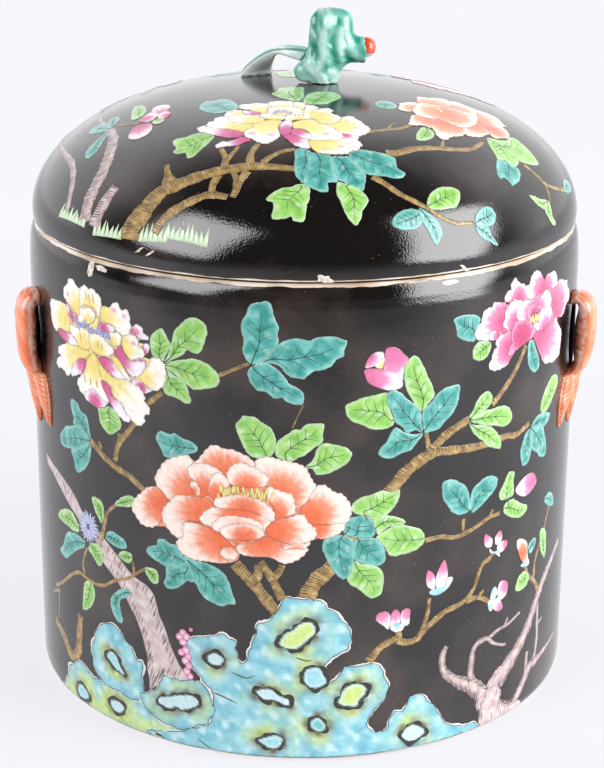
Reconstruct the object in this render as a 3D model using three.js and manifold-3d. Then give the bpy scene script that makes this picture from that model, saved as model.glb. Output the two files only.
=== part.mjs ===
// A covered porcelain jar: a thrown cylinder with two luted lug handles, and a domed cover
// with a modelled finial. Millimetres, +Z up, origin at the centre of the foot, front at -Y.
import * as THREE from "three";
import { mergeVertices } from "three/addons/utils/BufferGeometryUtils.js";
import Module from "manifold-3d";

// Jar
const JAR_RADIUS = 115;
const JAR_HEIGHT = 196.4;
const JAR_WALL = 6;
const FLOOR_THICKNESS = 7;
const FLOOR_COVE = 4;
const FOOT_WIDTH = 9;
const FOOT_RECESS = 5;
const FOOT_BEVEL = 1.8;
const RIM_ROUND = 0.8;
const NECK_HEIGHT = 9;
const NECK_WALL = 3.6;
const NECK_LEDGE = 12;
const NECK_CLEARANCE = 1;

// Cover: the setback is how far its edge stands inside the jar's wall
const COVER_SETBACK = 1.5;
const COVER_WALL = 4;
const COVER_CROWN_WALL = 5;
const COVER_STRAIGHT = 3.6;
const COVER_HEIGHT = 53.7;
const COVER_EDGE_BEVEL = 0.4;
const SHOULDER_POWER = 2.62;
const CROWN_POWER = 1.89;
const COVER_SEAT_GAP = 0.3;

// Luted pieces stand this far off what carries them
const LUTING_GAP = 0.3;

// Handles, shaped by hand: azimuth is measured from the front, towards +X, and the reach is
// that of the middle of the strap
const HANDLES = [
  { name: "left", azimuth: -70.5, thickness: 8.2, reach: 5.2 },
  { name: "right", azimuth: 72.5, thickness: 5.8, reach: 7.4 },
];
const HANDLE_DROP = 23.5;
const HANDLE_HEIGHT = 38.5;
const HANDLE_WIDTH = 13.2;
const LEAF_WIDTH = 12.4;
const LEAF_THICKNESS = 3.5;
const LEAF_OVERLAP = 4.5;

// Each leaf's place from the handle's middle towards the front, at its root and at its tip,
// with its bulge, its length and how far it stands off the wall at its root
const HANDLE_LEAVES = {
  front: { root: 5, tip: 15, bulge: 1.1, length: 21.4, lift: 0 },
  rear: { root: -5.6, tip: -1.4, bulge: -0.3, length: 24.3, lift: 1 },
};

// Finial, set on the middle of the crown; the pod's lean is how far its top stands to the right
const POD_HEIGHT = 30.8;
const POD_RADIUS = 9.2;
const POD_BASE_RADIUS = 6.8;
const POD_BASE_X = 6.6;
const POD_LEAN = 3.8;
const POD_FLATTENING = 0.85;
const POD_LOBE_DEPTH = 0.5;
const POD_FOOT_X = -1.6;
const POD_FOOT_RADIUS = 3.9;
const POD_FOOT_HEIGHT = 4.2;
const SPOUT_REACH = 18.2;
const SPOUT_HEIGHT = 13;
const SPOUT_RADIUS = 5.3;
const SPOUT_FLARE = 1.25;
const BUD_RADIUS = 4.3;
const BUD_LENGTH = 3.6;
const BUD_RISE = 1.1;
const BLEND_RADIUS = 4;
const STEM_SPAN = 27.6;
const STEM_DEPTH = 17;
const STEM_ARCH = 13.9;
const STEM_THICKNESS = 3.8;

const LATHE_SEGMENTS = 64;
const RING_POINTS = 16;
const BAND_SQUARENESS = 2.5;
const POD_EDGE = 1.5;

const wasm = await Module();
wasm.setup();

const GLAZES = {
  black: { color: 0x151313, roughness: 0.12, metalness: 0 },
  coral: { color: 0xd9592f, roughness: 0.2, metalness: 0 },
  green: { color: 0x2fa588, roughness: 0.15, metalness: 0 },
  red: { color: 0xc23a22, roughness: 0.2, metalness: 0 },
};

// Solids and meshes

function toSolid(geometry) {
  const bare = new THREE.BufferGeometry();
  bare.setAttribute("position", geometry.getAttribute("position"));
  bare.setIndex(geometry.index);
  const merged = mergeVertices(bare, 1e-4);
  const corners = merged.index.array;
  const kept = [];
  for (let i = 0; i < corners.length; i += 3) {
    const [a, b, c] = [corners[i], corners[i + 1], corners[i + 2]];
    if (a !== b && b !== c && c !== a) kept.push(a, b, c);
  }
  return new wasm.Manifold(
    new wasm.Mesh({
      numProp: 3,
      vertProperties: new Float32Array(merged.attributes.position.array),
      triVerts: new Uint32Array(kept),
    }),
  );
}

function toGeometry(solid) {
  const mesh = solid.getMesh();
  const geometry = new THREE.BufferGeometry();
  const places = new THREE.BufferAttribute(mesh.vertProperties, mesh.numProp);
  geometry.setAttribute("position", places);
  geometry.setIndex(new THREE.BufferAttribute(mesh.triVerts, 1));
  geometry.computeVertexNormals();
  return geometry;
}

function piece(name, glaze, solid) {
  const mesh = new THREE.Mesh(
    toGeometry(solid),
    new THREE.MeshStandardMaterial(GLAZES[glaze]),
  );
  mesh.name = name;
  return mesh;
}

// A turned solid from [radius, height] points that start and end on the axis
function turned(profile) {
  const points = profile.map(([r, z]) => new THREE.Vector2(r, z));
  const geometry = new THREE.LatheGeometry(points, LATHE_SEGMENTS);
  geometry.rotateX(Math.PI / 2);
  return toSolid(geometry);
}

// A closed skin over rings of equally many points, with a fan at each end
function lofted(rings) {
  const places = [];
  const corners = [];
  const count = rings[0].length;
  rings.forEach((ring) => ring.forEach((p) => places.push(p.x, p.y, p.z)));
  const ends = [rings[0], rings[rings.length - 1]].map((ring) => {
    const middle = new THREE.Vector3();
    ring.forEach((p) => middle.addScaledVector(p, 1 / count));
    places.push(middle.x, middle.y, middle.z);
    return places.length / 3 - 1;
  });
  for (let j = 0; j < count; j++) {
    const k = (j + 1) % count;
    for (let i = 0; i + 1 < rings.length; i++) {
      const [a, b] = [i * count + j, i * count + k];
      corners.push(a, b, b + count, a, b + count, a + count);
    }
    const last = (rings.length - 1) * count;
    corners.push(ends[0], k, j, ends[1], last + j, last + k);
  }
  const geometry = new THREE.BufferGeometry();
  geometry.setAttribute("position", new THREE.Float32BufferAttribute(places, 3));
  geometry.setIndex(corners);
  const solid = toSolid(geometry);
  if (solid.volume() > 0) return solid;
  corners.reverse();
  geometry.setIndex(corners);
  return toSolid(geometry);
}

// A coordinate of a rounded square section, from the cosine or sine of its turn
function squared(value) {
  return Math.sign(value) * Math.abs(value) ** (2 / BAND_SQUARENESS);
}

// A rounded band between two rails of equally many points, with its half thickness at each
function band(frontPoints, backPoints, steps, halfThicknesses) {
  const front = new THREE.CatmullRomCurve3(frontPoints);
  const back = new THREE.CatmullRomCurve3(backPoints);
  const spans = halfThicknesses.length - 1;
  const rings = Array.from({ length: steps + 1 }, (_, i) => {
    const share = i / steps;
    const station = Math.min(Math.floor(share * spans), spans - 1);
    const [start, end] = halfThicknesses.slice(station, station + 2);
    const half = THREE.MathUtils.lerp(start, end, share * spans - station);
    const side = back.getPoint(share).sub(front.getPoint(share)).multiplyScalar(0.5);
    const centre = front.getPoint(share).add(side);
    const along = front.getTangent(share).add(back.getTangent(share));
    const across = along.cross(side).normalize().multiplyScalar(half);
    return Array.from({ length: RING_POINTS }, (_, j) => {
      const turn = (2 * Math.PI * j) / RING_POINTS;
      return centre
        .clone()
        .addScaledVector(across, squared(Math.cos(turn)))
        .addScaledVector(side, squared(Math.sin(turn)));
    });
  });
  return lofted(rings);
}

// Depth inside a rod that tapers from one end to the other; it is negative outside
function rodDepth(point, start, end, startRadius, endRadius) {
  const length = new THREE.Vector3().subVectors(end, start);
  const offset = new THREE.Vector3().subVectors(point, start);
  const share = THREE.MathUtils.clamp(offset.dot(length) / length.lengthSq(), 0, 1);
  const radius = THREE.MathUtils.lerp(startRadius, endRadius, share);
  return radius - offset.addScaledVector(length, -share).length();
}

// Two depths joined with a fillet
function blended(a, b) {
  const near = Math.max(BLEND_RADIUS - Math.abs(a - b), 0) / BLEND_RADIUS;
  return Math.max(a, b) + (near * near * BLEND_RADIUS) / 4;
}

// Jar and cover

const jarInside = JAR_RADIUS - JAR_WALL;
const coverRadius = JAR_RADIUS - COVER_SETBACK;
const coverInside = coverRadius - COVER_WALL;
const coverInsideHeight = COVER_HEIGHT - COVER_CROWN_WALL;
const coverSeat = JAR_HEIGHT + COVER_SEAT_GAP;
const crownHeight = coverSeat + COVER_HEIGHT;

// Radius of a dome at a height over its seat
function domeRadius(radius, height, z) {
  const share = Math.max(z - COVER_STRAIGHT, 0) / (height - COVER_STRAIGHT);
  const turn = Math.asin(share ** (CROWN_POWER / 2));
  return radius * Math.cos(turn) ** (2 / SHOULDER_POWER);
}

// Points of a dome from its straight skirt to the crown
function domePoints(radius, height, steps) {
  return Array.from({ length: steps + 1 }, (_, i) => {
    const turn = ((i / steps) * Math.PI) / 2;
    const out = i === steps ? 0 : Math.cos(turn) ** (2 / SHOULDER_POWER);
    const up = Math.sin(turn) ** (2 / CROWN_POWER);
    return [radius * out, COVER_STRAIGHT + (height - COVER_STRAIGHT) * up];
  });
}

function jarProfile() {
  const footInner = JAR_RADIUS - FOOT_BEVEL - FOOT_WIDTH;
  const floor = FOOT_RECESS + FLOOR_THICKNESS;
  const neckTop = JAR_HEIGHT + NECK_HEIGHT;
  const neckBase = coverInside - NECK_CLEARANCE;
  const neckOuter = domeRadius(coverInside, coverInsideHeight, NECK_HEIGHT) - NECK_CLEARANCE;
  const neckInner = neckOuter - NECK_WALL;
  const neckBevel = NECK_WALL / 4;
  return [
    [0, FOOT_RECESS],
    [footInner - FOOT_BEVEL, FOOT_RECESS],
    [footInner, 0],
    [JAR_RADIUS - FOOT_BEVEL, 0],
    [JAR_RADIUS, FOOT_BEVEL],
    [JAR_RADIUS, JAR_HEIGHT - RIM_ROUND],
    [JAR_RADIUS - RIM_ROUND, JAR_HEIGHT],
    [neckBase, JAR_HEIGHT],
    [neckOuter, neckTop - neckBevel],
    [neckOuter - neckBevel, neckTop],
    [neckInner + neckBevel, neckTop],
    [neckInner, neckTop - neckBevel],
    [neckInner, JAR_HEIGHT - NECK_LEDGE / 2],
    [jarInside, JAR_HEIGHT - NECK_LEDGE],
    [jarInside, floor + FLOOR_COVE],
    [jarInside - FLOOR_COVE, floor],
    [0, floor],
  ];
}

const DOME_STEPS = 14;
const INNER_DOME_STEPS = 10;

function coverProfile() {
  const outer = domePoints(coverRadius, COVER_HEIGHT, DOME_STEPS);
  const inner = domePoints(coverInside, coverInsideHeight, INNER_DOME_STEPS);
  const edge = [
    [coverInside, 0],
    [coverRadius - COVER_EDGE_BEVEL, 0],
    [coverRadius, COVER_EDGE_BEVEL],
  ];
  return [...inner.reverse(), ...edge, ...outer].map(([r, z]) => [r, z + coverSeat]);
}

// The space of the cover with its luting gap, which trims the feet of the finial
function coverCutter() {
  const radius = coverRadius + LUTING_GAP;
  const outer = domePoints(radius, COVER_HEIGHT + LUTING_GAP, DOME_STEPS);
  return turned([[0, 0], [radius, 0], ...outer].map(([r, z]) => [r, z + coverSeat]));
}

// Handles

const handleTop = JAR_HEIGHT - HANDLE_DROP;
const handleBottom = handleTop - HANDLE_HEIGHT;

// The space of the wall with its luting gap, which trims the feet of the handles
const wallCutter = turned([
  [0, 0],
  [JAR_RADIUS + LUTING_GAP, 0],
  [JAR_RADIUS + LUTING_GAP, JAR_HEIGHT],
  [0, JAR_HEIGHT],
]);

// A place by the wall: arc length from an azimuth, distance off the wall, and height
function byWall(azimuth, arc, off, z) {
  const turn = THREE.MathUtils.degToRad(azimuth) + arc / JAR_RADIUS;
  const radius = JAR_RADIUS + off;
  return new THREE.Vector3(radius * Math.sin(turn), -radius * Math.cos(turn), z);
}

// The strap of a handle, a band that leaves the wall at its top and comes back below.
// Its stations are shares of the reach, of the height, of the width and of the thickness.
const STRAP_STATIONS = [
  [-0.25, 0.12, 0.85, 0.85],
  [0.43, 0.09, 0.94, 0.9],
  [0.9, 0.165, 1, 0.96],
  [1, 0.36, 0.97, 0.95],
  [0.94, 0.595, 0.93, 0.95],
  [0.73, 0.777, 0.87, 0.95],
  [0.31, 0.885, 0.78, 0.9],
  [-0.25, 0.922, 0.72, 0.85],
];
const STRAP_STEPS = 28;

// The strap, grown by a margin where it is used to cut its leaves
function strapSolid({ azimuth, thickness, reach }, margin) {
  const rail = (side) =>
    STRAP_STATIONS.map(([out, drop, width]) => {
      const arc = side * ((width * HANDLE_WIDTH) / 2 + margin);
      return byWall(azimuth, arc, out * reach, handleTop - drop * HANDLE_HEIGHT);
    });
  const halves = STRAP_STATIONS.map((station) => (station[3] * thickness) / 2 + margin);
  return band(rail(-1), rail(1), STRAP_STEPS, halves);
}

// The arc of a leaf's midrib, from the handle's middle towards the front
function leafMiddle({ root, tip, bulge }, share) {
  return root + (tip - root) * share ** 2 + 4 * bulge * share * (1 - share);
}

// One moulded leaf that hangs on the wall below a strap; turn is -1 or +1 for its side
function handleLeaf(handle, turn) {
  const forward = -Math.sign(handle.azimuth);
  const inFront = turn === forward;
  const leaf = inFront ? HANDLE_LEAVES.front : HANDLE_LEAVES.rear;
  const steps = 14;
  const columns = 8;
  const top = handleBottom + LEAF_OVERLAP;
  const rings = Array.from({ length: steps + 1 }, (_, i) => {
    const share = i / steps;
    const swell = Math.sin(Math.PI * (0.25 + 0.75 * share ** 0.9)) ** 0.75;
    const half = (LEAF_WIDTH / 2) * Math.max(swell || 0, 0.08);
    const middle = leafMiddle(leaf, share);
    const both = Object.values(HANDLE_LEAVES).map((one) => leafMiddle(one, share));
    const seam = (both[0] + both[1]) / 2;
    const z = top - leaf.length * share;
    const crest = LEAF_THICKNESS * (0.15 + 0.85 * (1 - share) ** 0.7);
    const place = (across, off) => {
      const arc = middle + across * half;
      const kept = inFront
        ? Math.max(arc, seam + LUTING_GAP / 2)
        : Math.min(arc, seam - LUTING_GAP / 2);
      return byWall(handle.azimuth, forward * kept, off, z);
    };
    const shares = Array.from({ length: columns + 1 }, (_, j) => -1 + (2 * j) / columns);
    const face = shares.map((across) => {
      const crown = Math.sqrt(Math.max(1 - across ** 2, 0));
      const groove = 0.3 * Math.max(1 - Math.abs(across) * 3, 0);
      const lift = 2 * LUTING_GAP + leaf.lift * (1 - share);
      return place(across, lift + crest * crown * (1 - groove));
    });
    const back = shares.reverse().map((across) => place(across, -1));
    return [...face, ...back];
  });
  return lofted(rings).subtract(wallCutter).subtract(strapSolid(handle, LUTING_GAP));
}

// Finial

const coverSpace = coverCutter();

function onCrown(x, y, z) {
  return new THREE.Vector3(x, y, crownHeight + z);
}

const podTopX = POD_BASE_X + POD_LEAN;
const spoutEndX = POD_BASE_X + SPOUT_REACH;

// Depth inside the pod: a lobed trunk, a foot that spreads to the left and a side spout
function podDepth(place) {
  const [x, y, z] = place;
  const point = new THREE.Vector3(x, y / POD_FLATTENING, z);
  const base = onCrown(POD_BASE_X, 0, 2);
  const top = onCrown(podTopX, 0, POD_HEIGHT - POD_RADIUS + POD_EDGE);
  const lobes = POD_LOBE_DEPTH * Math.cos(5 * Math.atan2(point.y, x - POD_BASE_X) + 1);
  const trunk = rodDepth(point, base, top, POD_BASE_RADIUS, POD_RADIUS) + lobes;
  const heel = onCrown(POD_BASE_X / 2, 0, POD_BASE_RADIUS);
  const toe = onCrown(POD_FOOT_X, 0, POD_FOOT_HEIGHT);
  const foot = rodDepth(point, heel, toe, POD_FOOT_RADIUS * 1.2, POD_FOOT_RADIUS);
  const root = onCrown(podTopX, 0, SPOUT_HEIGHT);
  const mouth = onCrown(spoutEndX, 0, SPOUT_HEIGHT);
  const spout = rodDepth(point, root, mouth, SPOUT_RADIUS * SPOUT_FLARE, SPOUT_RADIUS);
  const whole = blended(blended(trunk, spout), foot);
  const flatTop = crownHeight + POD_HEIGHT - z;
  return Math.min(-blended(-whole, -flatTop), spoutEndX - x);
}

// The pod, grown by a margin where it is used to cut its neighbours
function podSolid(margin) {
  const room = POD_EDGE * 2;
  const reach = POD_RADIUS + room;
  const bounds = {
    min: [POD_FOOT_X - POD_FOOT_RADIUS - room, -reach, crownHeight - room],
    max: [spoutEndX + room, reach, crownHeight + POD_HEIGHT + room],
  };
  return wasm.Manifold.levelSet(podDepth, bounds, POD_EDGE, -margin);
}

const podSpace = podSolid(LUTING_GAP);

// The opening bud that closes the spout
function finialBud() {
  const geometry = new THREE.SphereGeometry(BUD_RADIUS, 20, 12);
  geometry.scale(BUD_LENGTH / BUD_RADIUS, 1, 1);
  geometry.translate(spoutEndX + LUTING_GAP, 0, crownHeight + SPOUT_HEIGHT + BUD_RISE);
  return toSolid(geometry).subtract(podSpace);
}

// The twig that springs from the crown and arches into the pod, with a foot that spreads
// backwards. Its stations are shares of the span, the depth and the arch, for its upper edge
// and then for its lower edge.
const STEM_STATIONS = [
  [-1.02, 1.02, -0.25, -0.5, 1.37, -0.25],
  [-0.95, 0.94, 0.14, -0.5, 1.18, 0.16],
  [-0.72, 0.71, 0.59, -0.48, 0.88, 0.4],
  [-0.51, 0.53, 0.88, -0.435, 0.59, 0.63],
  [-0.38, 0.44, 0.96, -0.37, 0.35, 0.69],
  [-0.21, 0.35, 1, -0.235, 0.235, 0.63],
  [0.06, 0.27, 0.94, -0.05, 0.13, 0.54],
  [0.24, 0.18, 0.86, 0.14, 0.06, 0.44],
];

function finialStem() {
  const edge = (first) =>
    STEM_STATIONS.map((station) => {
      const [along, back, rise] = station.slice(first, first + 3);
      return onCrown(along * STEM_SPAN, back * STEM_DEPTH, rise * STEM_ARCH);
    });
  const halves = STEM_STATIONS.map(() => STEM_THICKNESS / 2);
  return band(edge(0), edge(3), 22, halves).subtract(coverSpace).subtract(podSpace);
}

// Assembly

function jar() {
  const group = new THREE.Group();
  group.add(piece("jar_body", "black", turned(jarProfile())));
  for (const handle of HANDLES) {
    group.add(piece(`${handle.name}_handle_strap`, "coral", strapSolid(handle, 0).subtract(wallCutter)));
    group.add(piece(`${handle.name}_handle_leaf_1`, "coral", handleLeaf(handle, -1)));
    group.add(piece(`${handle.name}_handle_leaf_2`, "coral", handleLeaf(handle, 1)));
  }
  return group;
}

function cover() {
  const group = new THREE.Group();
  group.add(piece("cover_dome", "black", turned(coverProfile())));
  group.add(piece("finial_pod", "green", podSolid(0).subtract(coverSpace)));
  group.add(piece("finial_stem", "green", finialStem()));
  group.add(piece("finial_bud", "red", finialBud()));
  return group;
}

const coveredJar = new THREE.Group();
coveredJar.add(jar());
coveredJar.add(cover());

export default coveredJar;
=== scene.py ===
"""A covered porcelain jar in famille noire enamels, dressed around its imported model."""

import math

import bpy
import numpy as np
from bpy.props import FloatProperty, FloatVectorProperty, PointerProperty
from mathutils import Matrix, Vector, geometry


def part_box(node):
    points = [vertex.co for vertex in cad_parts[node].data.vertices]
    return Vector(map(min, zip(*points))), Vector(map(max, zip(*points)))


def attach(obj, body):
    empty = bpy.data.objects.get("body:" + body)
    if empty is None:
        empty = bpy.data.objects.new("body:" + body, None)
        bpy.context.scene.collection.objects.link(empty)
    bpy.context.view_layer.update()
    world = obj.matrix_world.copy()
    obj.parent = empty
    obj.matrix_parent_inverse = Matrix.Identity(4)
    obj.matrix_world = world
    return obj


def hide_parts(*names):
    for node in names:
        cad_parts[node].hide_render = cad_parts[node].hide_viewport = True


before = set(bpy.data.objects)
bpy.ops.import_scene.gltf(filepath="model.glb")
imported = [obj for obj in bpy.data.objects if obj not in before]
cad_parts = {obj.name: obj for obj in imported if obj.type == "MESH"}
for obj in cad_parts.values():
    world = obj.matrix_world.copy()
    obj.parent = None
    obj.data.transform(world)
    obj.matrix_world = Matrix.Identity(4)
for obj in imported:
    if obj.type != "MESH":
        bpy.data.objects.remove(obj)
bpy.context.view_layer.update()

bl_info = {
    "name": "Covered porcelain jar",
    "version": (1, 0, 0),
    "blender": (4, 5, 0),
    "location": "View3D > Sidebar > Jar",
    "description": "Glaze, enamels, modelled handles and finial for a covered porcelain jar",
    "category": "Object",
}

# Sizes in millimetres, taken from the model where it holds them
MM = 0.001


def model_span(node, axis):
    """A node's lowest and highest place along one axis, in millimetres."""
    low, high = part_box(node)
    return low[axis] / MM, high[axis] / MM


JAR_RADIUS = model_span("jar_body", 1)[1]
COVER_RADIUS = model_span("cover_dome", 1)[1]
COVER_SEAT, CROWN = model_span("cover_dome", 2)
NECK_TOP = model_span("jar_body", 2)[1]
SEAT_GAP = 0.3
RIM = COVER_SEAT - SEAT_GAP

# The painted skins lie inside the model's skins by the thickness that enamel needs
WALL_PAINT_ROOM = 0.32
COVER_PAINT_ROOM = 0.5
WALL_RADIUS = JAR_RADIUS - WALL_PAINT_ROOM
DOME_RADIUS = COVER_RADIUS - COVER_PAINT_ROOM
DOME_HEIGHT = CROWN - COVER_SEAT - COVER_PAINT_ROOM
DOME_STRAIGHT = 3.6
SHOULDER_POWER = 2.62
CROWN_POWER = 1.89
LOWEST_PAINT = 2.2

# Each layer of enamel lies this far above the one below it; all start inside the glaze
WALL_COAT = 0.0095
DOME_COAT = 0.015
PAINT_SUNK = -0.15

# A flower's ground lies a little below its first petals; on the wall those start at layer 9
BED_DROP = 0.4
WALL_BED = 9 - BED_DROP

# Walls and floors out of the camera's sight
JAR_INSIDE = 109
JAR_FLOOR_TOP = 12
FOOT_RECESS = 5
COVER_WALL = 4
CROWN_WALL = 5

# The photograph's camera: lengths in jar radii, angles in degrees, the lens in pixels
CAMERA_DISTANCE = 6.9166
CAMERA_HEIGHT = 3.41285
CAMERA_PITCH = 18.976
CAMERA_ROLL = 0.4257
IMAGE_WIDTH = 604
IMAGE_HEIGHT = 768
FOCAL_LENGTH = 1947.0
CENTRE_X = 303.3
SENSOR_WIDTH = 36

# The rounded lip of the wall: depth below the rim, and how far the skin has drawn in
LIP_DEPTHS = (16, 10, 6, 4, 2.6, 1.5, 0.7, 0.2, 0)
LIP_DRAWS = (0, 0.25, 0.7, 1.15, 1.7, 2.4, 3.1, 3.7, 4.1)


# Colours


def linear(red, green, blue):
    """A colour of 0 to 255 parts as the linear values that shaders take."""
    parts = np.array([red, green, blue]) / 255
    return np.where(parts <= 0.04045, parts / 12.92, ((parts + 0.055) / 1.055) ** 2.4)


def unit(values):
    """Values held between 0 and 1."""
    return np.clip(values, 0, 1)


def bell(values, width):
    """1 where values are 0, falling smoothly to nothing on both sides."""
    return np.exp(-((values / width) ** 2))


def mixed(one, other, share):
    """Two colours mixed point by point."""
    share = unit(np.asarray(share, float))[..., None]
    return np.asarray(one) * (1 - share) + np.asarray(other) * share


def plain(colour):
    """A tint of one colour."""
    return lambda flat, depth: np.broadcast_to(colour, (len(flat), 3))


def pigment(title, about, red, green, blue):
    """A colour that a user can change."""
    return FloatVectorProperty(name=title, description=about, subtype="COLOR", size=3, min=0, max=1,
                               default=tuple(linear(red, green, blue)))


class JarSizes(bpy.types.PropertyGroup):
    """Sizes of the glazed and painted skins"""

    enamel_start: FloatProperty(
        name="Enamel start", description="How proud the first coat of enamel stands", unit="LENGTH",
        default=0.04 * MM)
    voxel: FloatProperty(
        name="Modelling detail", description="Voxel size of the modelled handles and finial", unit="LENGTH",
        default=0.42 * MM)
    pit_depth: FloatProperty(
        name="Pit depth", description="Depth of the pits in the black glaze", unit="LENGTH", default=0.03 * MM)
    floor_size: FloatProperty(
        name="Floor size", description="Width of the studio floor", unit="LENGTH", default=12)


class JarColours(bpy.types.PropertyGroup):
    """Pigments of the glaze and the enamels"""

    glaze: pigment("Glaze", "Black glaze", 19, 16, 15)
    glaze_thin: pigment("Thin glaze", "Black glaze where it is thin", 66, 55, 49)
    biscuit: pigment("Biscuit", "Bare clay at the rim and foot", 222, 198, 172)
    coral: pigment("Coral", "Deep coral of the middle peony", 236, 112, 70)
    coral_light: pigment("Light coral", "Half-tone of the coral", 247, 172, 140)
    pink: pigment("Pink", "Deep pink of the right peony", 208, 88, 132)
    pink_light: pigment("Light pink", "Half-tone of the pink", 236, 158, 190)
    yellow: pigment("Yellow", "Deep yellow of the left peony", 240, 218, 126)
    yellow_light: pigment("Light yellow", "Half-tone of the yellow", 248, 236, 172)
    magenta: pigment("Magenta", "Deep magenta of petal folds", 206, 84, 138)
    magenta_light: pigment("Light magenta", "Half-tone of the magenta", 234, 160, 196)
    teal: pigment("Teal", "Deep teal of the cool leaves", 50, 144, 134)
    teal_light: pigment("Light teal", "Half-tone of the teal", 112, 192, 184)
    green: pigment("Green", "Deep green of the warm leaves", 128, 190, 84)
    green_light: pigment("Light green", "Half-tone of the green", 170, 216, 122)
    ochre: pigment("Ochre", "Living boughs", 132, 100, 50)
    ochre_light: pigment("Light ochre", "Half-tone of the boughs", 188, 156, 98)
    lavender: pigment("Lavender", "Dead wood", 176, 150, 148)
    lavender_light: pigment("Light lavender", "Half-tone of the dead wood", 214, 194, 192)
    aqua: pigment("Aqua", "Rocks", 112, 184, 202)
    aqua_light: pigment("Light aqua", "Half-tone of the rocks", 160, 214, 222)
    lime: pigment("Lime", "Washes round the holes in the rocks", 204, 224, 134)
    blue: pigment("Blue", "Stamens and the small blue flower", 84, 104, 190)
    strap: pigment("Strap", "Coral of the modelled handles", 242, 118, 66)
    pod: pigment("Pod", "Pooled green of the modelled finial", 28, 140, 120)
    pod_light: pigment("Light pod", "Thin green on the finial's ridges", 176, 232, 220)
    bud: pigment("Bud", "Red of the finial's bud", 200, 58, 30)


CHALK = linear(250, 244, 238)
PALE_LEAF = linear(222, 240, 214)
PALE_TEAL = linear(178, 222, 212)
INK = linear(30, 42, 36)
BROWN_INK = linear(104, 58, 44)
BARK_INK = linear(58, 42, 28)
ROCK_INK = linear(46, 46, 38)
HALO = linear(108, 94, 62)
RUST = linear(206, 128, 66)
STAMEN = linear(232, 228, 136)
WORN = linear(232, 214, 204)


class Palette:
    """The user's pigments, gathered in runs from deep to pale."""

    def __init__(self, colours):
        def own(name):
            return np.array(getattr(colours, name)[:])

        self.coral = (own("coral"), own("coral_light"), linear(253, 234, 222))
        self.pink = (own("pink"), own("pink_light"), linear(252, 240, 248))
        self.yellow = (own("yellow"), own("yellow_light"), linear(252, 248, 238))
        self.magenta = (own("magenta"), own("magenta_light"), linear(250, 240, 250))
        self.teal = (own("teal"), own("teal_light"), PALE_TEAL)
        self.green = (own("green"), own("green_light"), PALE_LEAF)
        self.ochre = (own("ochre"), own("ochre_light"), linear(214, 188, 138))
        self.lavender = (own("lavender"), own("lavender_light"), linear(226, 210, 208))
        self.aqua = (own("aqua"), own("aqua_light"), linear(206, 236, 240))
        self.blue = (own("blue"), mixed(own("blue"), CHALK, 0.4), linear(206, 214, 242))
        self.lime = own("lime")


# Plane geometry of the painting


def pairs(numbers):
    """A flat run of numbers as points."""
    return np.array(numbers, float).reshape(-1, 2)


def ellipse(x, y, wide, tall, count, uneven=1.0):
    """A closed run of points round a middle."""
    turn = np.linspace(0, 2 * math.pi, count + 1)[:-1]
    return np.array([x, y]) + np.stack([wide * np.cos(turn), tall * np.sin(turn)], 1) * uneven


def rounded(points, spacing=0.8, closed=True):
    """A smooth curve through points, in short steps."""
    points = np.asarray(points, float)
    count = len(points)
    curve = []
    for i in range(count if closed else count - 1):
        ends = [points[(i + k) % count] if closed else points[min(max(i + k, 0), count - 1)]
                for k in (-1, 0, 1, 2)]
        before, start, end, after = ends
        steps = max(2, int(np.linalg.norm(end - start) / spacing))
        t = np.arange(steps)[:, None] / steps
        curve.append(0.5 * (2 * start + (end - before) * t
                            + (2 * before - 5 * start + 4 * end - after) * t**2
                            + (3 * start - before - 3 * end + after) * t**3))
    if not closed:
        curve.append(points[-1:])
    return np.vstack(curve)


def edge_distance(points, outline):
    """How far points lie from a closed outline."""
    start, along = outline, np.roll(outline, -1, 0) - outline
    offset = points[:, None] - start[None]
    share = unit((offset * along).sum(2) / np.maximum((along**2).sum(1), 1e-12))
    return np.linalg.norm(offset - share[..., None] * along, axis=2).min(1)


def inside(points, outline):
    """Which points a closed outline holds."""
    a, b = outline, np.roll(outline, -1, 0)
    x, y = points[:, None, 0], points[:, None, 1]
    crosses = (a[:, 1] > y) != (b[:, 1] > y)
    rise = np.where(b[:, 1] == a[:, 1], 1e-12, b[:, 1] - a[:, 1])
    return (crosses & (x < (b[:, 0] - a[:, 0]) * (y - a[:, 1]) / rise + a[:, 0])).sum(1) % 2 == 1


def sideways(points):
    """Unit vectors to the left of a run of points."""
    along = np.gradient(points, axis=0)
    left = np.stack([-along[:, 1], along[:, 0]], 1)
    return left / np.maximum(np.linalg.norm(left, axis=1, keepdims=True), 1e-9)


def outwards(outline):
    """Unit vectors that leave a closed outline."""
    along = np.roll(outline, -1, 0) - np.roll(outline, 1, 0)
    right = np.stack([along[:, 1], -along[:, 0]], 1)
    right /= np.maximum(np.linalg.norm(right, axis=1, keepdims=True), 1e-9)
    x, y = outline.T
    turns_left = (x * np.roll(y, -1) - np.roll(x, -1) * y).sum() > 0
    return right if turns_left else -right


def clouds(points, size, seed=0.0):
    """Smooth wandering values from about -1 to 1."""
    total = np.zeros(len(points))
    for k in range(5):
        turn = seed * 2.4 + k * 1.9
        reach = 2 * math.pi / (size * (0.7 + 0.25 * k))
        total += np.sin(points[:, 0] * reach * math.cos(turn) + points[:, 1] * reach * math.sin(turn)
                        + seed * 3.1 * (k + 1))
    return total / 2.2


# The sheets that are painted on


def wall_radius(height):
    """The glazed wall's radius at a height, with its rounded lip."""
    depth = RIM - np.asarray(height, float)
    return WALL_RADIUS - np.interp(depth, LIP_DEPTHS[::-1], LIP_DRAWS[::-1])


def on_wall(flat, lift, far):
    """Arc length from the front and height, wrapped on the jar's wall."""
    turn = flat[:, 0] / JAR_RADIUS
    if far:
        turn = math.pi - turn
    height = np.maximum(flat[:, 1], LOWEST_PAINT)
    radius = wall_radius(height) + lift
    return np.stack([radius * np.sin(turn), -radius * np.cos(turn), height], 1)


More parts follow.
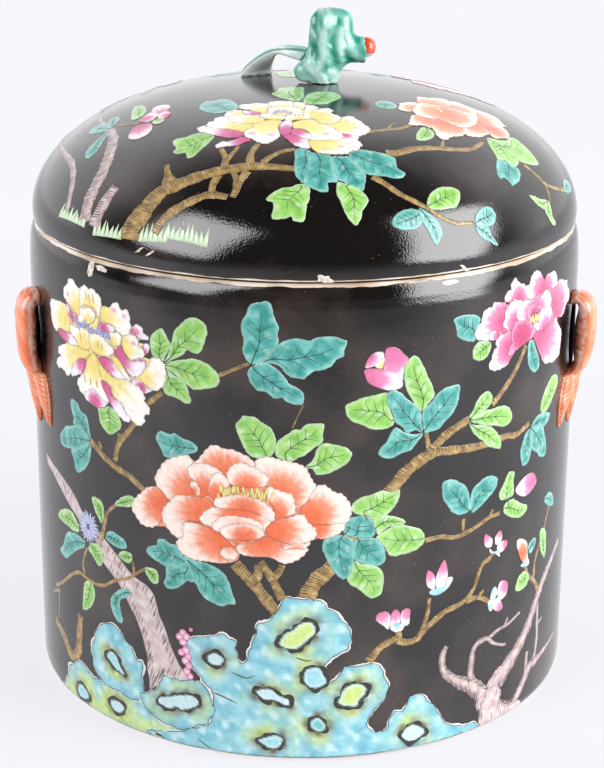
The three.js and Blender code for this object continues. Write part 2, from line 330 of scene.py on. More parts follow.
def dome_profile(radius, height, steps=600):
    """Distance along the dome from its crown, with radius and height there."""
    turn = np.linspace(math.pi / 2, 0, steps)
    out = radius * np.cos(turn) ** (2 / SHOULDER_POWER)
    out[0] = 0
    up = DOME_STRAIGHT + (height - DOME_STRAIGHT) * np.sin(turn) ** (2 / CROWN_POWER)
    out, up = np.append(out, radius), np.append(up, 0)
    run = np.concatenate([[0], np.cumsum(np.hypot(np.diff(out), np.diff(up)))])
    return run, out, up


DOME_RUN, DOME_OUT, DOME_UP = dome_profile(DOME_RADIUS, DOME_HEIGHT)


def on_dome(flat, lift, far):
    """A plan whose radii are distances from the crown, wrapped on the dome."""
    run = np.hypot(flat[:, 0], flat[:, 1])
    turn = np.arctan2(flat[:, 0], flat[:, 1] if far else -flat[:, 1])
    out, up = np.interp(run, DOME_RUN, DOME_OUT), np.interp(run, DOME_RUN, DOME_UP)
    step = 0.5
    d_out = np.interp(run + step, DOME_RUN, DOME_OUT) - np.interp(run - step, DOME_RUN, DOME_OUT)
    d_up = np.interp(run + step, DOME_RUN, DOME_UP) - np.interp(run - step, DOME_RUN, DOME_UP)
    size = np.maximum(np.hypot(d_out, d_up), 1e-9)
    out, up = out - lift * d_up / size, up + lift * d_out / size
    return np.stack([out * np.sin(turn), -out * np.cos(turn), up + COVER_SEAT], 1)


class Paint:
    """Enamel on one sheet: closed patches and lines that stand a hair proud of the glaze."""

    def __init__(self, sheet, far, first):
        self.sheet, self.far, self.first = sheet, far, first
        self.step = WALL_COAT if sheet is on_wall else DOME_COAT
        self.places, self.colours, self.faces, self.rows = [], [], [], []
        self.count = 0

    def lay(self, flat, lift, colour, faces):
        """Add points with their lifts, colours and faces."""
        self.places.append(self.sheet(flat, lift, self.far))
        self.colours.append(np.broadcast_to(colour, (len(flat), 3)))
        turned = [tuple(face[::-1]) for face in faces] if self.far else faces
        self.faces += [tuple(self.count + corner for corner in face) for face in turned]
        self.count += len(flat)

    def patch(self, outline, tint, layer=0.0, grid=1.3, rim=0.35):
        """A filled outline; tint gives a colour for points and their depth inside the edge."""
        low, high = outline.min(0), outline.max(0)
        ring = outline - outwards(outline) * rim
        ticks = [np.arange(low[k] + grid / 2, high[k], grid) for k in (0, 1)]
        fill = np.stack(np.meshgrid(*ticks), 2).reshape(-1, 2)
        parts = [outline]
        for points, least in ((ring, 0.8 * rim), (fill, rim + 0.4 * grid)):
            if len(points):
                points = points[inside(points, outline)]
            if len(points):
                parts.append(points[edge_distance(points, outline) > least])
        corners = list(range(len(outline)))
        filled = geometry.delaunay_2d_cdt([Vector(p) for p in np.vstack(parts)], [], [corners], 1, 1e-5)
        flat = np.array([tuple(p) for p in filled[0]])
        faces = [tuple(face) for face in filled[2] if len(face) == 3]
        if not faces:
            return
        count = len(flat)
        edges = {(face[k], face[(k + 1) % 3]) for face in faces for k in range(3)}
        walls = [(a, a + count, b + count, b) for a, b in sorted(edges) if (b, a) not in edges]
        under = [(c + count, b + count, a + count) for a, b, c in faces]
        colour = tint(flat, edge_distance(flat, outline))
        lifts = np.concatenate([np.full(count, self.first + self.step * layer), np.full(count, PAINT_SUNK)])
        self.lay(np.vstack([flat, flat]), lifts, np.vstack([colour, colour]), faces + walls + under)

    def line(self, points, width, colour, layer=0.0):
        """A raised line whose width may change along it."""
        points = np.asarray(points, float)
        count = len(points)
        half = np.broadcast_to(np.asarray(width, float) / 2, (count,))[:, None]
        side = sideways(points) * half
        top = self.first + self.step * (layer + 0.4)
        flat = np.vstack([points + side, points - side, points - side, points + side])
        lifts = np.repeat([top, top, PAINT_SUNK, PAINT_SUNK], count)
        faces = []
        for i in range(count - 1):
            for row in range(4):
                a, b = row * count + i, (row + 1) % 4 * count + i
                faces.append((a, b, b + 1, a + 1))
        first, last = [r * count for r in range(4)], [r * count + count - 1 for r in range(4)]
        faces += [tuple(first[::-1]), tuple(last)]
        self.lay(flat, lifts, colour, faces)

    def piece(self, name, material, slot, body):
        """One object of all that was laid."""
        places = np.vstack(self.places) * MM
        new_piece(name, places, self.faces, material, body, np.vstack(self.colours))


def coloured(mesh, colours):
    """Give a mesh its enamel colours, one per point."""
    layer = mesh.color_attributes.new("enamel", "FLOAT_COLOR", "POINT")
    rgba = np.hstack([colours, np.ones((len(colours), 1))]).astype(np.float32)
    layer.data.foreach_set("color", rgba.ravel())


def new_piece(name, places, faces, material, body, colours):
    """A painted mesh that rides on a body."""
    mesh = bpy.data.meshes.new(name)
    mesh.from_pydata([tuple(p) for p in places], [], [tuple(f) for f in faces])
    mesh.materials.append(material)
    coloured(mesh, colours)
    mesh.polygons.foreach_set("use_smooth", [True] * len(mesh.polygons))
    piece = bpy.data.objects.new(name, mesh)
    bpy.context.scene.collection.objects.link(piece)
    settled(piece, body)


def settled(piece, body, replaces=()):
    """Tie a finished piece to its body and the nodes that it stands for."""
    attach(piece, body)
    if replaces:
        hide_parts(*replaces)


# Painted motifs


RANDOM = np.random.default_rng(11)


def cross_sections(outline, base, tip, shares):
    """Middles and half widths of an outline, across a line from its base to its tip."""
    axis = tip - base
    across = np.array([-axis[1], axis[0]]) / np.linalg.norm(axis)
    centre = 30
    reach = np.linspace(-1, 1, 2 * centre + 1) * np.ptp(outline, axis=0).max()
    spots = base + axis * shares[:, None, None] + across * reach[None, :, None]
    held = inside(spots.reshape(-1, 2), outline).reshape(len(shares), -1)
    middles, halves = [], []
    for share, row in zip(shares, held):
        # Of the stretches that lie inside the outline, the one nearest to the line
        turns = np.flatnonzero(np.diff(np.concatenate([[0], row, [0]])))
        first, last = min(zip(turns[::2], turns[1::2] - 1), default=(centre, centre),
                          key=lambda ends: abs(ends[0] + ends[1] - 2 * centre) - (ends[1] - ends[0]))
        low, high = reach[first], reach[last]
        middles.append(base + axis * share + across * (low + high) / 2)
        halves.append((high - low) / 2)
    return np.array(middles), np.array(halves), across


def leaf(paint, tones, layer, row):
    """A leaf: its base, its tip and its outline in one run of numbers."""
    points = pairs(row)
    base, tip, outline = points[0], points[1], rounded(points[2:], 0.8)
    outline = outline + outwards(outline) * (0.12 * clouds(outline, 2.2, layer))[:, None]
    size = np.linalg.norm(tip - base)
    shares = np.linspace(0.06, 0.94, 12)
    middles, halves, across = cross_sections(outline, base, tip, shares)
    middles = (np.vstack([base[None], middles[:-1]]) + middles * 2 + np.vstack([middles[1:], tip[None]])) / 4
    seed, ink = RANDOM.uniform(0, 5), mixed(INK, tones[0], 0.22)

    def tint(flat, depth):
        wash = 0.42 + 0.34 * clouds(flat, 6.5, seed) + 0.14 * clouds(flat, 2.6, seed + 1)
        rib = bell((flat - base) @ across, 0.2 * halves.max() + 0.4)
        colour = mixed(tones[0], tones[1], wash - 0.18 * rib + 0.2 * np.exp(-depth / 1.2))
        colour = mixed(colour, tones[2], 0.6 * unit(clouds(flat, 4.5, seed + 2) - 0.6))
        colour = mixed(colour, tones[2], 0.95 * bell(depth, 0.46))
        return mixed(colour, ink, 0.5 * bell(depth, 0.13))

    paint.patch(outline, tint, layer, rim=0.5)
    rib = rounded(np.vstack([base[None], middles[::2]]), 1.0, closed=False)
    paint.line(rib, np.linspace(0.5, 0.22, len(rib)), ink, layer)
    count = 3 if size > 9 else 2
    for k in range(count):
        start = 2 + int(7 * k / count)
        end = min(start + 2, 11)
        for side in (-1, 1):
            run = np.linspace(0, 1, 5)[:, None]
            vein = middles[start] + (middles[end] - middles[start]) * run**0.8
            vein = vein + across * side * 0.78 * halves[end] * run**1.2
            paint.line(vein, np.linspace(0.34, 0.16, 5), ink, layer)


def leaves(paint, tones, rows, layer=5.0):
    """Leaves that overlap in the order of their rows."""
    for k, row in enumerate(rows):
        leaf(paint, tones, layer + 0.9 * (k % 4), row)


def petal(paint, tones, layer, row, frill, white):
    """A petal: its deep-coloured root and its outline in one run of numbers."""
    points = pairs(row)
    root, outline = points[0], rounded(points[1:], 0.6)
    away = np.linalg.norm(outline - root, axis=1)
    reach = away.max()
    far = unit((away / reach - 0.45) * 4)
    steps = np.concatenate([[0], np.cumsum(np.linalg.norm(np.diff(outline, axis=0), axis=1))])
    scallops = frill * np.abs(np.sin(steps * math.pi / (2.2 + 0.2 * layer % 1)))
    outline = outline + outwards(outline) * (scallops * far)[:, None]
    seed = RANDOM.uniform(0, 5)

    def tint(flat, depth):
        offset = flat - root
        share = np.linalg.norm(offset, axis=1) / reach
        turn = np.arctan2(offset[:, 1], offset[:, 0])
        streaks = 0.05 * np.sin(turn * 19 + seed) + 0.05 * np.sin(turn * 37 + 2 * seed)
        colour = mixed(tones[0], tones[1], (share - 0.2) * 1.9 + streaks)
        near_edge = np.exp(-depth / (0.09 * reach + 0.9)) * unit((share - 0.34) * 4)
        colour = mixed(colour, tones[2], (share + streaks - white) * 3.2 + 0.9 * near_edge)
        return mixed(colour, BROWN_INK, 0.85 * bell(depth, 0.24))

    paint.patch(outline, tint, layer, grid=1.0, rim=0.32)


def flower_bed(paint, layer, rows):
    """The ground of a flower: its petals' silhouette, so that no glaze shows between them."""
    shapes = [rounded(pairs(row)[1:], 1.2) for _, *row in rows]
    centre = np.vstack(shapes).mean(0)
    step, shrink = 0.4, 0.7
    reach = np.arange(0, 60, step)
    outline = []
    for turn in np.linspace(0, 2 * math.pi, 121)[:-1]:
        ray = centre + np.outer(reach, [math.cos(turn), math.sin(turn)])
        held = np.any([inside(ray, shape) for shape in shapes], 0)
        outline.append(ray[max(np.flatnonzero(held), default=3)] - (ray[1] - ray[0]) / step * shrink)
    deep, mid = np.array([tones[0] for tones, *_ in rows]), np.array([tones[1] for tones, *_ in rows])

    def tint(flat, depth):
        gaps = np.array([edge_distance(flat, shape) * ~inside(flat, shape) for shape in shapes])
        nearest, close = gaps.argmin(0), np.sort(gaps, 0)
        colour = mixed(deep[nearest], mid[nearest], 0.55 + 0.4 * clouds(flat, 3.0))
        return mixed(colour, BROWN_INK, 0.7 * bell(close[1] - close[0], 0.3) * (close[1] > 0.2))

    paint.patch(np.array(outline), tint, layer, grid=0.9)


def petals(paint, first, rows, frill=0.5, white=0.55, bed=False):
    """A flower from its back petals to its front ones, each with its own tones."""
    paint.rows += list(rows)
    if bed:
        flower_bed(paint, first - BED_DROP, rows)
    for k, (tones, *row) in enumerate(rows):
        petal(paint, tones, first + 0.75 * k, row, frill, white)


def blots(paint, colour, layer, *spots):
    """Soft touches of another colour: centre and radii."""
    for spot in spots:
        paint.patch(ellipse(*spot, 14), lambda flat, depth: mixed(colour, CHALK, 0.55 * np.exp(-depth / 0.5)), layer,
                    grid=0.8, rim=0.3)


def strokes(paint, colour, layer, width, *rows):
    """Short brush strokes through given points."""
    for row in rows:
        points = rounded(pairs(row), 0.6, closed=False)
        share = np.linspace(-1, 1, len(points))
        paint.line(points, width * (1 - 0.65 * np.abs(share) ** 2.5), colour, layer)


def stamens(paint, centre, spread, colour, ink, layer, count=14):
    """Looped stamens in a flower's middle."""
    for k in range(count):
        share = (k + 0.5) / count * 2 - 1
        x = centre[0] + share * spread[0]
        y = centre[1] + spread[1] * (RANDOM.uniform(-0.7, 0.7))
        lean = 0.5 * share + RANDOM.uniform(-0.3, 0.3)
        loop = np.array([[x - 0.4, y - 1.5], [x - 0.5 + lean, y + 0.7], [x + lean, y + 1.5],
                         [x + 0.5 + lean, y + 0.7], [x + 0.4, y - 1.5]])
        paint.patch(rounded(loop, 0.5), lambda flat, depth: mixed(ink, colour, depth / 0.22), layer + 0.5 * (k % 3),
                    grid=0.7, rim=0.22)


def hatching(paint, middle, half, layer, gap, reach, lean, width=0.34, side=1, ink=BARK_INK):
    """Short ink strokes from one side of a bough towards its middle."""
    steps = np.concatenate([[0], np.cumsum(np.linalg.norm(np.diff(middle, axis=0), axis=1))])
    left, along = sideways(middle), np.gradient(middle, axis=0)
    along = along / np.maximum(np.linalg.norm(along, axis=1, keepdims=True), 1e-9)
    for place in np.arange(gap, steps[-1] - gap / 2, gap):
        k = int(np.searchsorted(steps, place + RANDOM.uniform(-0.15, 0.15) * gap))
        k = min(max(k, 1), len(middle) - 2)
        start = middle[k] + side * left[k] * half[k] * 0.94
        length = 2 * half[k] * reach * RANDOM.uniform(0.75, 1.15)
        end = start - side * left[k] * length + along[k] * lean * length
        paint.line(np.linspace(start, end, 3), np.array([1, 0.8, 0.25]) * width, ink, layer)


def bough(paint, tones, layer, widths, row, style="rungs"):
    """A bough along a run of points, hatched like bark."""
    middle = rounded(pairs(row), 0.9, closed=False)
    run = np.linspace(0, 1, len(middle))
    half = np.interp(run, np.linspace(0, 1, len(widths)), widths) / 2
    half = half * (1 + 0.08 * np.sin(run * len(middle) * 0.7) + 0.06 * np.cos(run * len(middle) * 1.9))
    side = sideways(middle) * half[:, None]
    outline = np.vstack([middle + side, (middle - side)[::-1]])
    seed = RANDOM.uniform(0, 5)

    def tint(flat, depth):
        wash = 0.5 + 0.4 * clouds(flat, 5, seed)
        colour = mixed(mixed(tones[0], tones[1], wash), tones[2], 0.5 * unit(clouds(flat, 3, seed)))
        return mixed(colour, tones[0] * 0.6, 0.5 * bell(depth, 0.3))

    paint.patch(outline, tint, layer, grid=1.1, rim=0.3)
    if style == "rungs":
        hatching(paint, middle, half, layer, 1.2, 0.6, 0.25, 0.42)
        hatching(paint, middle, half, layer, 2.6, 0.25, -0.3, side=-1)
    elif style == "bark":
        ink = mixed(BARK_INK, tones[0], 0.12)
        hatching(paint, middle, half, layer, 0.95, 0.36, 1.4, 0.4, ink=ink)
        hatching(paint, middle, half, layer, 1.1, 0.3, 1.3, 0.4, side=-1, ink=ink)


def trunk(paint, tones, layer, outline, slant, gap=1.5, length=4.6):
    """A broad trunk: its outline and the slant of its bark strokes."""
    shape = rounded(pairs(outline), 1.0)
    seed = RANDOM.uniform(0, 5)

    def tint(flat, depth):
        colour = mixed(tones[0], tones[1], 0.72 + 0.3 * clouds(flat, 7, seed))
        colour = mixed(colour, tones[2], unit(clouds(flat, 4, seed + 1)))
        return mixed(colour, BARK_INK, 0.6 * bell(depth, 0.3))

    paint.patch(shape, tint, layer, grid=1.2, rim=0.4)
    slant = np.array(slant) / np.linalg.norm(slant)
    low, high = shape.min(0), shape.max(0)
    ticks = [np.arange(low[k], high[k], gap) for k in (0, 1)]
    spots = np.stack(np.meshgrid(*ticks), 2).reshape(-1, 2)
    spots = spots + RANDOM.uniform(-0.5, 0.5, spots.shape) * gap
    depth = edge_distance(spots, shape)
    spots = spots[inside(spots, shape) & (depth > 0.3) & (depth < 2.6)]
    for spot in spots:
        half = slant * length * RANDOM.uniform(0.3, 0.55)
        stroke = np.stack([spot - half, spot, spot + half])
        if inside(stroke, shape).all():
            paint.line(stroke, [0.14, 0.36, 0.14], BARK_INK, layer)


def rock(paint, palette, outline, holes, layer=0.0, lime=0.4, low=0.0):
    """Pierced rockwork: washes of aqua and lime, with brown rims round its holes."""
    shape = rounded(pairs(outline), 0.9)
    shape = shape + outwards(shape) * (0.3 * clouds(shape, 3.1, layer))[:, None]
    rings = [rounded(pairs(hole), 0.9) for _, hole in holes]
    aqua, seed = palette.aqua, 1.7 + layer

    def near(flat):
        return np.min([edge_distance(flat, ring) * ~inside(flat, ring) for ring in rings], axis=0)

    def tint(flat, depth):
        gap = near(flat)
        colour = mixed(aqua[0], aqua[1], 0.5 + 0.45 * clouds(flat, 11, seed) + 0.15 * clouds(flat, 4, seed))
        colour = mixed(colour, aqua[2], 0.8 * unit(clouds(flat, 7, seed + 1) - 0.3))
        colour = mixed(colour, palette.lime, unit(lime + 0.5 * clouds(flat, 16, seed + 2))
                       * bell(np.maximum(gap - 2, 0), 4.2))
        foot = unit(1.25 - flat[:, 1] / 13 + 0.4 * clouds(flat, 9, seed))
        colour = mixed(colour, palette.lime, low * foot)
        colour = mixed(colour, HALO, bell(gap, 2.9) * (0.8 + 0.5 * clouds(flat, 5, seed)))
        return mixed(colour, aqua[0] * 0.75, 0.5 * np.exp(-depth / 0.8))

    worn = shape + outwards(shape) * (0.75 + 0.4 * clouds(shape, 9, 2.0))[:, None]
    paint.patch(worn, plain(mixed(WORN, aqua[2], 0.3)), layer)
    dark = shape + outwards(shape) * 0.32
    paint.patch(dark, plain(ROCK_INK), layer + 0.5)
    paint.patch(shape, tint, layer + 1.0, grid=1.1)
    for (inner, hole), ring in zip(holes, rings):
        brim = ring + outwards(ring) * (1.3 + 0.65 * clouds(ring, 4, seed))[:, None]

        def hole_tint(flat, depth, inner=inner, ring=ring):
            held = inside(flat, ring)
            within = edge_distance(flat, ring) * held
            wash = mixed(aqua[2], inner, within / 1.6)
            return np.where(held[:, None], mixed(ROCK_INK, wash, within / 0.35), ROCK_INK)

        paint.patch(rounded(brim, 0.9), hole_tint, layer + 2.0, grid=0.7)


def grass(paint, tones, start, end, height, count):
    """A tuft of pointed blades along a line."""
    start, end = np.asarray(start, float), np.asarray(end, float)
    step = (end - start) / count
    side = np.array([-step[1], step[0]]) / np.linalg.norm(step)
    for k in range(count):
        root = start + step * (k + 0.5)
        tip = root + side * height * RANDOM.uniform(0.75, 1.15) + step * RANDOM.uniform(-0.5, 0.5)
        outline = np.array([root - step * 0.55 - side * 0.8, root + step * 0.55 - side * 0.8,
                            root + step * 0.4 + side * height * 0.3, tip, root - step * 0.4 + side * height * 0.3])
        paint.patch(outline, lambda flat, depth: mixed(tones[1], tones[2], 0.75 + 0.2 * clouds(flat, 4)),
                    2.0 + 0.9 * (k % 3), grid=1.2)


# The compositions, in millimetres on their sheets: the middle flower of the wall


def middle_peony(paint, tones, pale):
    """The great flower at the wall's middle, from its back petals to its front ones."""
    petals(paint, 9, (
        (tones, -30, 118, -50, 124, -45, 126, -42, 124, -37, 130, -34, 132, -30, 131, -27, 131, -24, 130,
         -20, 128, -18, 124, -24, 118, -36, 116, -46, 118),
        (tones, -42, 110, -59, 116, -59, 113, -57, 110, -52, 107, -44, 108, -40, 112, -42, 120, -44, 126,
         -50, 125, -55, 122, -57, 119),
        (tones, -9, 113, -18, 126, -14, 129, -8, 128, -3, 127, 1, 125, 3, 121, 5, 117, 3, 113, 0, 110, -4, 108,
         -10, 112, -14, 118),
        (tones, 3, 105, 5, 117, 8, 118, 12, 115, 15, 114, 18, 110, 18.5, 106, 16, 102, 10, 102, 4, 102, 1, 104,
         -1, 108, 2, 112),
        (tones, 5, 101, 4, 102, 10, 102, 16, 102, 15, 99, 11, 97, 7, 96, 4, 98),
        (tones, -56, 104, -71, 100, -69, 104, -66, 107, -63, 110, -58, 111, -54, 107, -55, 102, -57, 97, -61, 94,
         -66, 94, -69, 97),
        (tones, -38, 103, -53, 106, -50, 109, -44, 110, -36, 110, -34, 104, -40, 100, -46, 99, -47, 93, -50, 92,
         -53, 94, -56, 98, -56, 102),
        (tones, -38, 112, -45, 120, -43, 123, -38, 124, -34, 123, -31, 121, -32, 117, -36, 112, -40, 110,
         -41, 113, -42, 116),
        (tones, -43, 112, -44, 115, -42, 116, -40, 113, -41, 110.5, -43, 112),
        (tones, -33, 112, -35, 119, -33, 121, -30, 120, -28, 118, -30, 114, -34, 110, -37, 113, -36, 116),
        (tones, -21, 116, -29, 120, -28, 123, -26, 125, -23, 126, -20, 125, -17, 124, -14, 122, -13, 120,
         -15, 117, -21, 116, -27, 117),
        (tones, -11, 106, -13, 117, -10, 116, -7, 115, -4, 114, -3, 110, -3, 107, -6, 105, -10, 103, -11, 108,
         -13, 112)), white=0.52)
    stamens(paint, (-22, 113.5), (10.5, 3), STAMEN, RUST * 0.6, 16.5, 30)
    petals(paint, 17.8, (
        (tones, -22, 106, -34, 110, -30, 111.5, -24, 113, -18, 112, -14, 110, -11, 107, -11, 103, -14, 104,
         -20, 106, -28, 106, -33, 107),
        (tones, -24, 104, -36, 106, -30, 107, -22, 107, -15, 105, -12, 102, -13, 99, -18, 100, -24, 103,
         -31, 102, -35, 99, -40, 101),
        (pale, -24, 98, -33, 102, -28, 104, -22, 104, -18, 103, -15, 101, -16, 99, -20, 100.5, -24, 101, -28, 100,
         -31, 97, -34, 97.5, -35, 99),
        (tones, -22, 95, -32, 97, -31, 99, -28, 100, -24, 101, -19, 101, -15, 99, -15, 97, -18, 95, -25, 94,
         -30, 95),
        (tones, -11, 99, -10, 104, -5, 105, 0, 106, 2, 103, 5, 100, 5, 97, 2, 95, -4, 94, -9, 95, -13, 97,
         -14, 100),
        (tones, -30, 95, -47, 98, -40, 99, -33, 97, -30, 95, -27, 92, -24, 91, -25, 86, -31, 84, -37, 84, -43, 84,
         -48, 86, -50, 90, -47, 93),
        (tones, -15, 96, -25, 92, -19, 94, -13, 97, -10, 95, -7, 92, -2, 92, 2, 92, 0, 89, -3, 87, -7, 86,
         -12, 88, -19, 88, -24, 89),
        (pale, -2, 92, -4, 94, -1, 96, 1, 94, 3, 95, 1, 92, -2, 92, -7, 92),
        (pale, -28, 90, -31, 90, -27, 91, -25, 88, -27, 86, -31, 87)), white=0.52)


def left_peony(paint, tones, accent, blue):
    """The flower at the upper left, whose folds turn over in a second colour."""
    petals(paint, 9, (
        (tones, -98, 173, -109.8, 179, -108.8, 181.3, -106.6, 182.8, -106.3, 184.4, -104.4, 185.5, -102, 185,
         -101, 183.8, -98.5, 183, -97.3, 182, -97.5, 177.5, -98.5, 172, -104, 173.8, -107.3, 176.3, -109, 176.6),
        (tones, -86, 174, -85.4, 178, -83.5, 179.4, -80.4, 179.4, -78.5, 181, -76.6, 181.9, -75, 180.6, -74, 179,
         -72.3, 180, -70.4, 179, -70, 176.3, -69.8, 173, -71, 170.6, -72.9, 169.4, -76, 170.6, -79.8, 172.5,
         -82.9, 172.8, -85.4, 173.8),
        (tones, -92, 176, -97.6, 182.5, -96, 184.4, -94.4, 185, -92.3, 184, -89.8, 184.7, -87.9, 183.4,
         -86, 182.8, -84.8, 180.6, -85.4, 177.5, -86.6, 173.8, -88.5, 176.6, -91, 177.2, -94.8, 177.2,
         -97.6, 176)), white=0.5)
    blots(paint, accent[1], 12, (-106.5, 179, 1.3, 1.1), (-78, 178.8, 1.5, 1), (-72.8, 177.4, 1.2, 0.9))
    strokes(paint, RUST, 12, 0.5, (-94.6, 183.6, -93.8, 181.4, -93.4, 179.5), (-90, 183, -89.4, 181, -89.3, 179),
            (-92.2, 182.4, -91.8, 180.4, -91.6, 178.8))
    petals(paint, 12.4, (
        (tones, -107, 167, -122.3, 169.4, -122.6, 171.3, -121.3, 173, -119, 173.6, -116, 173.8, -112.9, 174.4,
         -109.8, 174.4, -107.3, 174, -106.6, 170.6, -105.4, 169.4, -105.4, 165, -107.3, 163, -111, 163,
         -114.8, 163, -117.3, 161.3, -119.8, 162.5, -121.6, 165),
        (accent, -71, 170, -69.4, 171.9, -67.9, 174.4, -66, 175, -64, 173.8, -63.5, 171.9, -61.3, 171.3,
         -61.9, 170, -64, 170, -66, 170),
        (tones, -68, 153, -66.6, 156.3, -64.8, 157.5, -61, 160, -60.4, 162.5, -57.3, 163.4, -54.8, 161.9,
         -53.8, 158.8, -54.1, 155, -55.4, 152.5, -57.9, 150.6, -60.4, 150.3, -63.5, 151.9, -66, 153,
         -69.8, 151.9, -67.3, 154.4),
        (accent, -65, 150.5, -69.8, 151.3, -67.3, 153, -64.8, 153, -61.6, 150.6, -60.4, 150, -64, 148.3,
         -67.3, 149.4),
        (tones, -97, 157, -110.4, 157.5, -107.3, 158.8, -99.8, 159.4, -92.3, 158.8, -94.8, 155.6, -99, 154.4,
         -102.3, 151.3, -104.8, 149.4, -106.6, 146.3, -109, 145, -111, 146.3, -114, 146.9, -116.6, 146.3,
         -117.9, 148, -116.6, 150, -113.5, 151.9, -116, 152.5, -115.4, 155, -112.9, 156.3),
        (tones, -86, 157, -88.5, 158.8, -86, 155.6, -82.3, 153, -78.5, 151.8, -72.9, 152.5, -69.8, 151.3,
         -66, 150, -63.5, 146.9, -63.8, 145, -61.6, 143, -61.6, 140.6, -64, 139.4, -63.8, 136.9, -66.6, 134.7,
         -69.8, 136.3, -72.3, 138, -74.8, 141.9, -79, 143.8, -79.8, 146.9, -82.9, 148.8, -86.6, 150),
        (tones, -90, 157, -94.8, 154.4, -92.3, 157.5, -90, 159.4, -87.9, 156.9, -86.6, 152.5, -85.4, 149.4,
         -82.9, 143, -82.3, 140.6, -85.4, 140, -88.5, 143.4, -92.3, 143, -95.4, 141.3, -98.5, 140.6,
         -100.7, 143, -101, 145, -98.5, 147.5, -96, 150),
        (accent, -86, 148, -86, 148.8, -83.5, 148.8, -81, 146.9, -79.8, 143.8, -77.9, 143, -75.4, 141.9,
         -72.9, 138, -70.4, 136.9, -72.3, 135, -75.4, 136, -78.5, 138, -81, 140.6, -82.9, 143, -85.4, 146.3),
        (accent, -90, 139, -97.3, 140.6, -94.8, 141.9, -92, 143.8, -89, 143.4, -86, 141.3, -82.9, 140,
         -85.4, 138, -88.5, 136.9, -92.3, 137.5, -95.4, 138.8),
        (accent, -96, 155, -106, 147.5, -104, 150, -101.6, 153, -99, 154.7, -95.4, 155, -94.8, 154.4,
         -96, 151.3, -97.9, 148.8, -101, 147.5, -104.8, 146),
        (accent, -113, 161.5, -115.7, 161.9, -114, 163, -111, 163, -107.3, 163.3, -104, 162.5, -100.4, 160,
         -104, 159, -108.5, 158.8, -112.3, 159.4, -114.8, 160.6),
        (accent, -86, 156.5, -87.3, 157.5, -85.4, 158.8, -82.3, 158.8, -79, 158, -76.6, 155.6, -74, 154,
         -71.6, 153.8, -72.9, 152.5, -76.6, 151.8, -79.8, 152.5, -82.9, 153.8, -86, 155.6),
        (tones, -79, 158, -79.8, 160, -76, 160, -72.3, 155, -69.8, 152.5, -71.6, 152.5, -76, 155, -78.5, 157.5),
        (accent, -77, 161, -78.2, 161.3, -76.6, 163.8, -74.8, 165.6, -72.9, 162.5, -69.8, 160, -66, 160.6,
         -62.9, 160.6, -63.5, 158, -66, 155, -69.8, 154.4, -72.9, 156.9, -76, 159.4),
        (tones, -75, 164, -74, 168.8, -71.6, 170, -68.5, 170.5, -66.3, 169.4, -66, 166.3, -63.5, 165.6,
         -63.5, 163, -66.6, 161.9, -69.8, 160.6, -72.3, 162.5, -74, 165),
        (accent, -63.6, 164, -63.5, 166.3, -62.3, 168.4, -61, 167.8, -61.3, 165, -62.9, 163.8)), white=0.5)
    blots(paint, accent[1], 23.2, (-68.3, 167.4, 1.4, 1.1))
    strokes(paint, RUST, 23.2, 0.5, (-96.4, 149, -96, 147.3, -95.8, 145.6), (-89, 148.4, -88.5, 146.5, -88.3, 145),
            (-66.6, 173.6, -66, 172.4, -65.8, 171.2), (-92.6, 148.2, -92.3, 146.6, -92.2, 145.4))
    petals(paint, 23, (
        (tones, -79, 165, -80.4, 169.4, -78.5, 169.7, -76, 170, -74.4, 168.8, -74.8, 166.3, -76.6, 164.4,
         -79, 164.4, -80, 166.3),
        (accent, -84, 170, -85, 170.6, -83.5, 171.9, -80.4, 172.5, -77.3, 171.3, -79.8, 169.7, -82.9, 169.4),
        (tones, -92, 170, -97.9, 175, -96.6, 176, -94.8, 175.6, -92.3, 176.8, -89.8, 176, -88.5, 175, -89, 172,
         -92.3, 170, -98.5, 170, -99, 171.3, -97.9, 172.5),
        (accent, -104, 170.5, -106.6, 175, -107.3, 173, -106, 170.6, -102.9, 169.7, -101, 170.6, -101.6, 172.5,
         -104.8, 172.5)), white=0.5)
    stamens(paint, (-91, 169), (10.5, 2.4), blue[1], blue[0], 25.6, 18)
    petals(paint, 26.4, (
        (tones, -96, 160, -105, 166.9, -103.5, 167.2, -101, 166.6, -99, 167.2, -96.6, 167.5, -93.5, 167.2,
         -92, 165.6, -92, 162.5, -91.6, 160.3, -96, 158.8, -99.8, 159.4, -101.6, 161.9, -104.8, 163.8,
         -105.4, 165.6),
        (tones, -88, 160, -92.3, 165, -91, 166.3, -88.5, 166.9, -86, 166.9, -83.5, 166, -81, 164.4, -78.5, 163,
         -79, 161.3, -82.3, 159.4, -86, 158.8, -89.8, 159.4, -91.6, 160.5)), white=0.5)
    strokes(paint, RUST, 27.2, 0.42, (-87.6, 165, -87.2, 163.2, -87.4, 161.6), (-84.6, 164.4, -84.8, 162.8,
            -85.2, 161.4), (-98.4, 165.4, -98, 163.6, -97.6, 162))


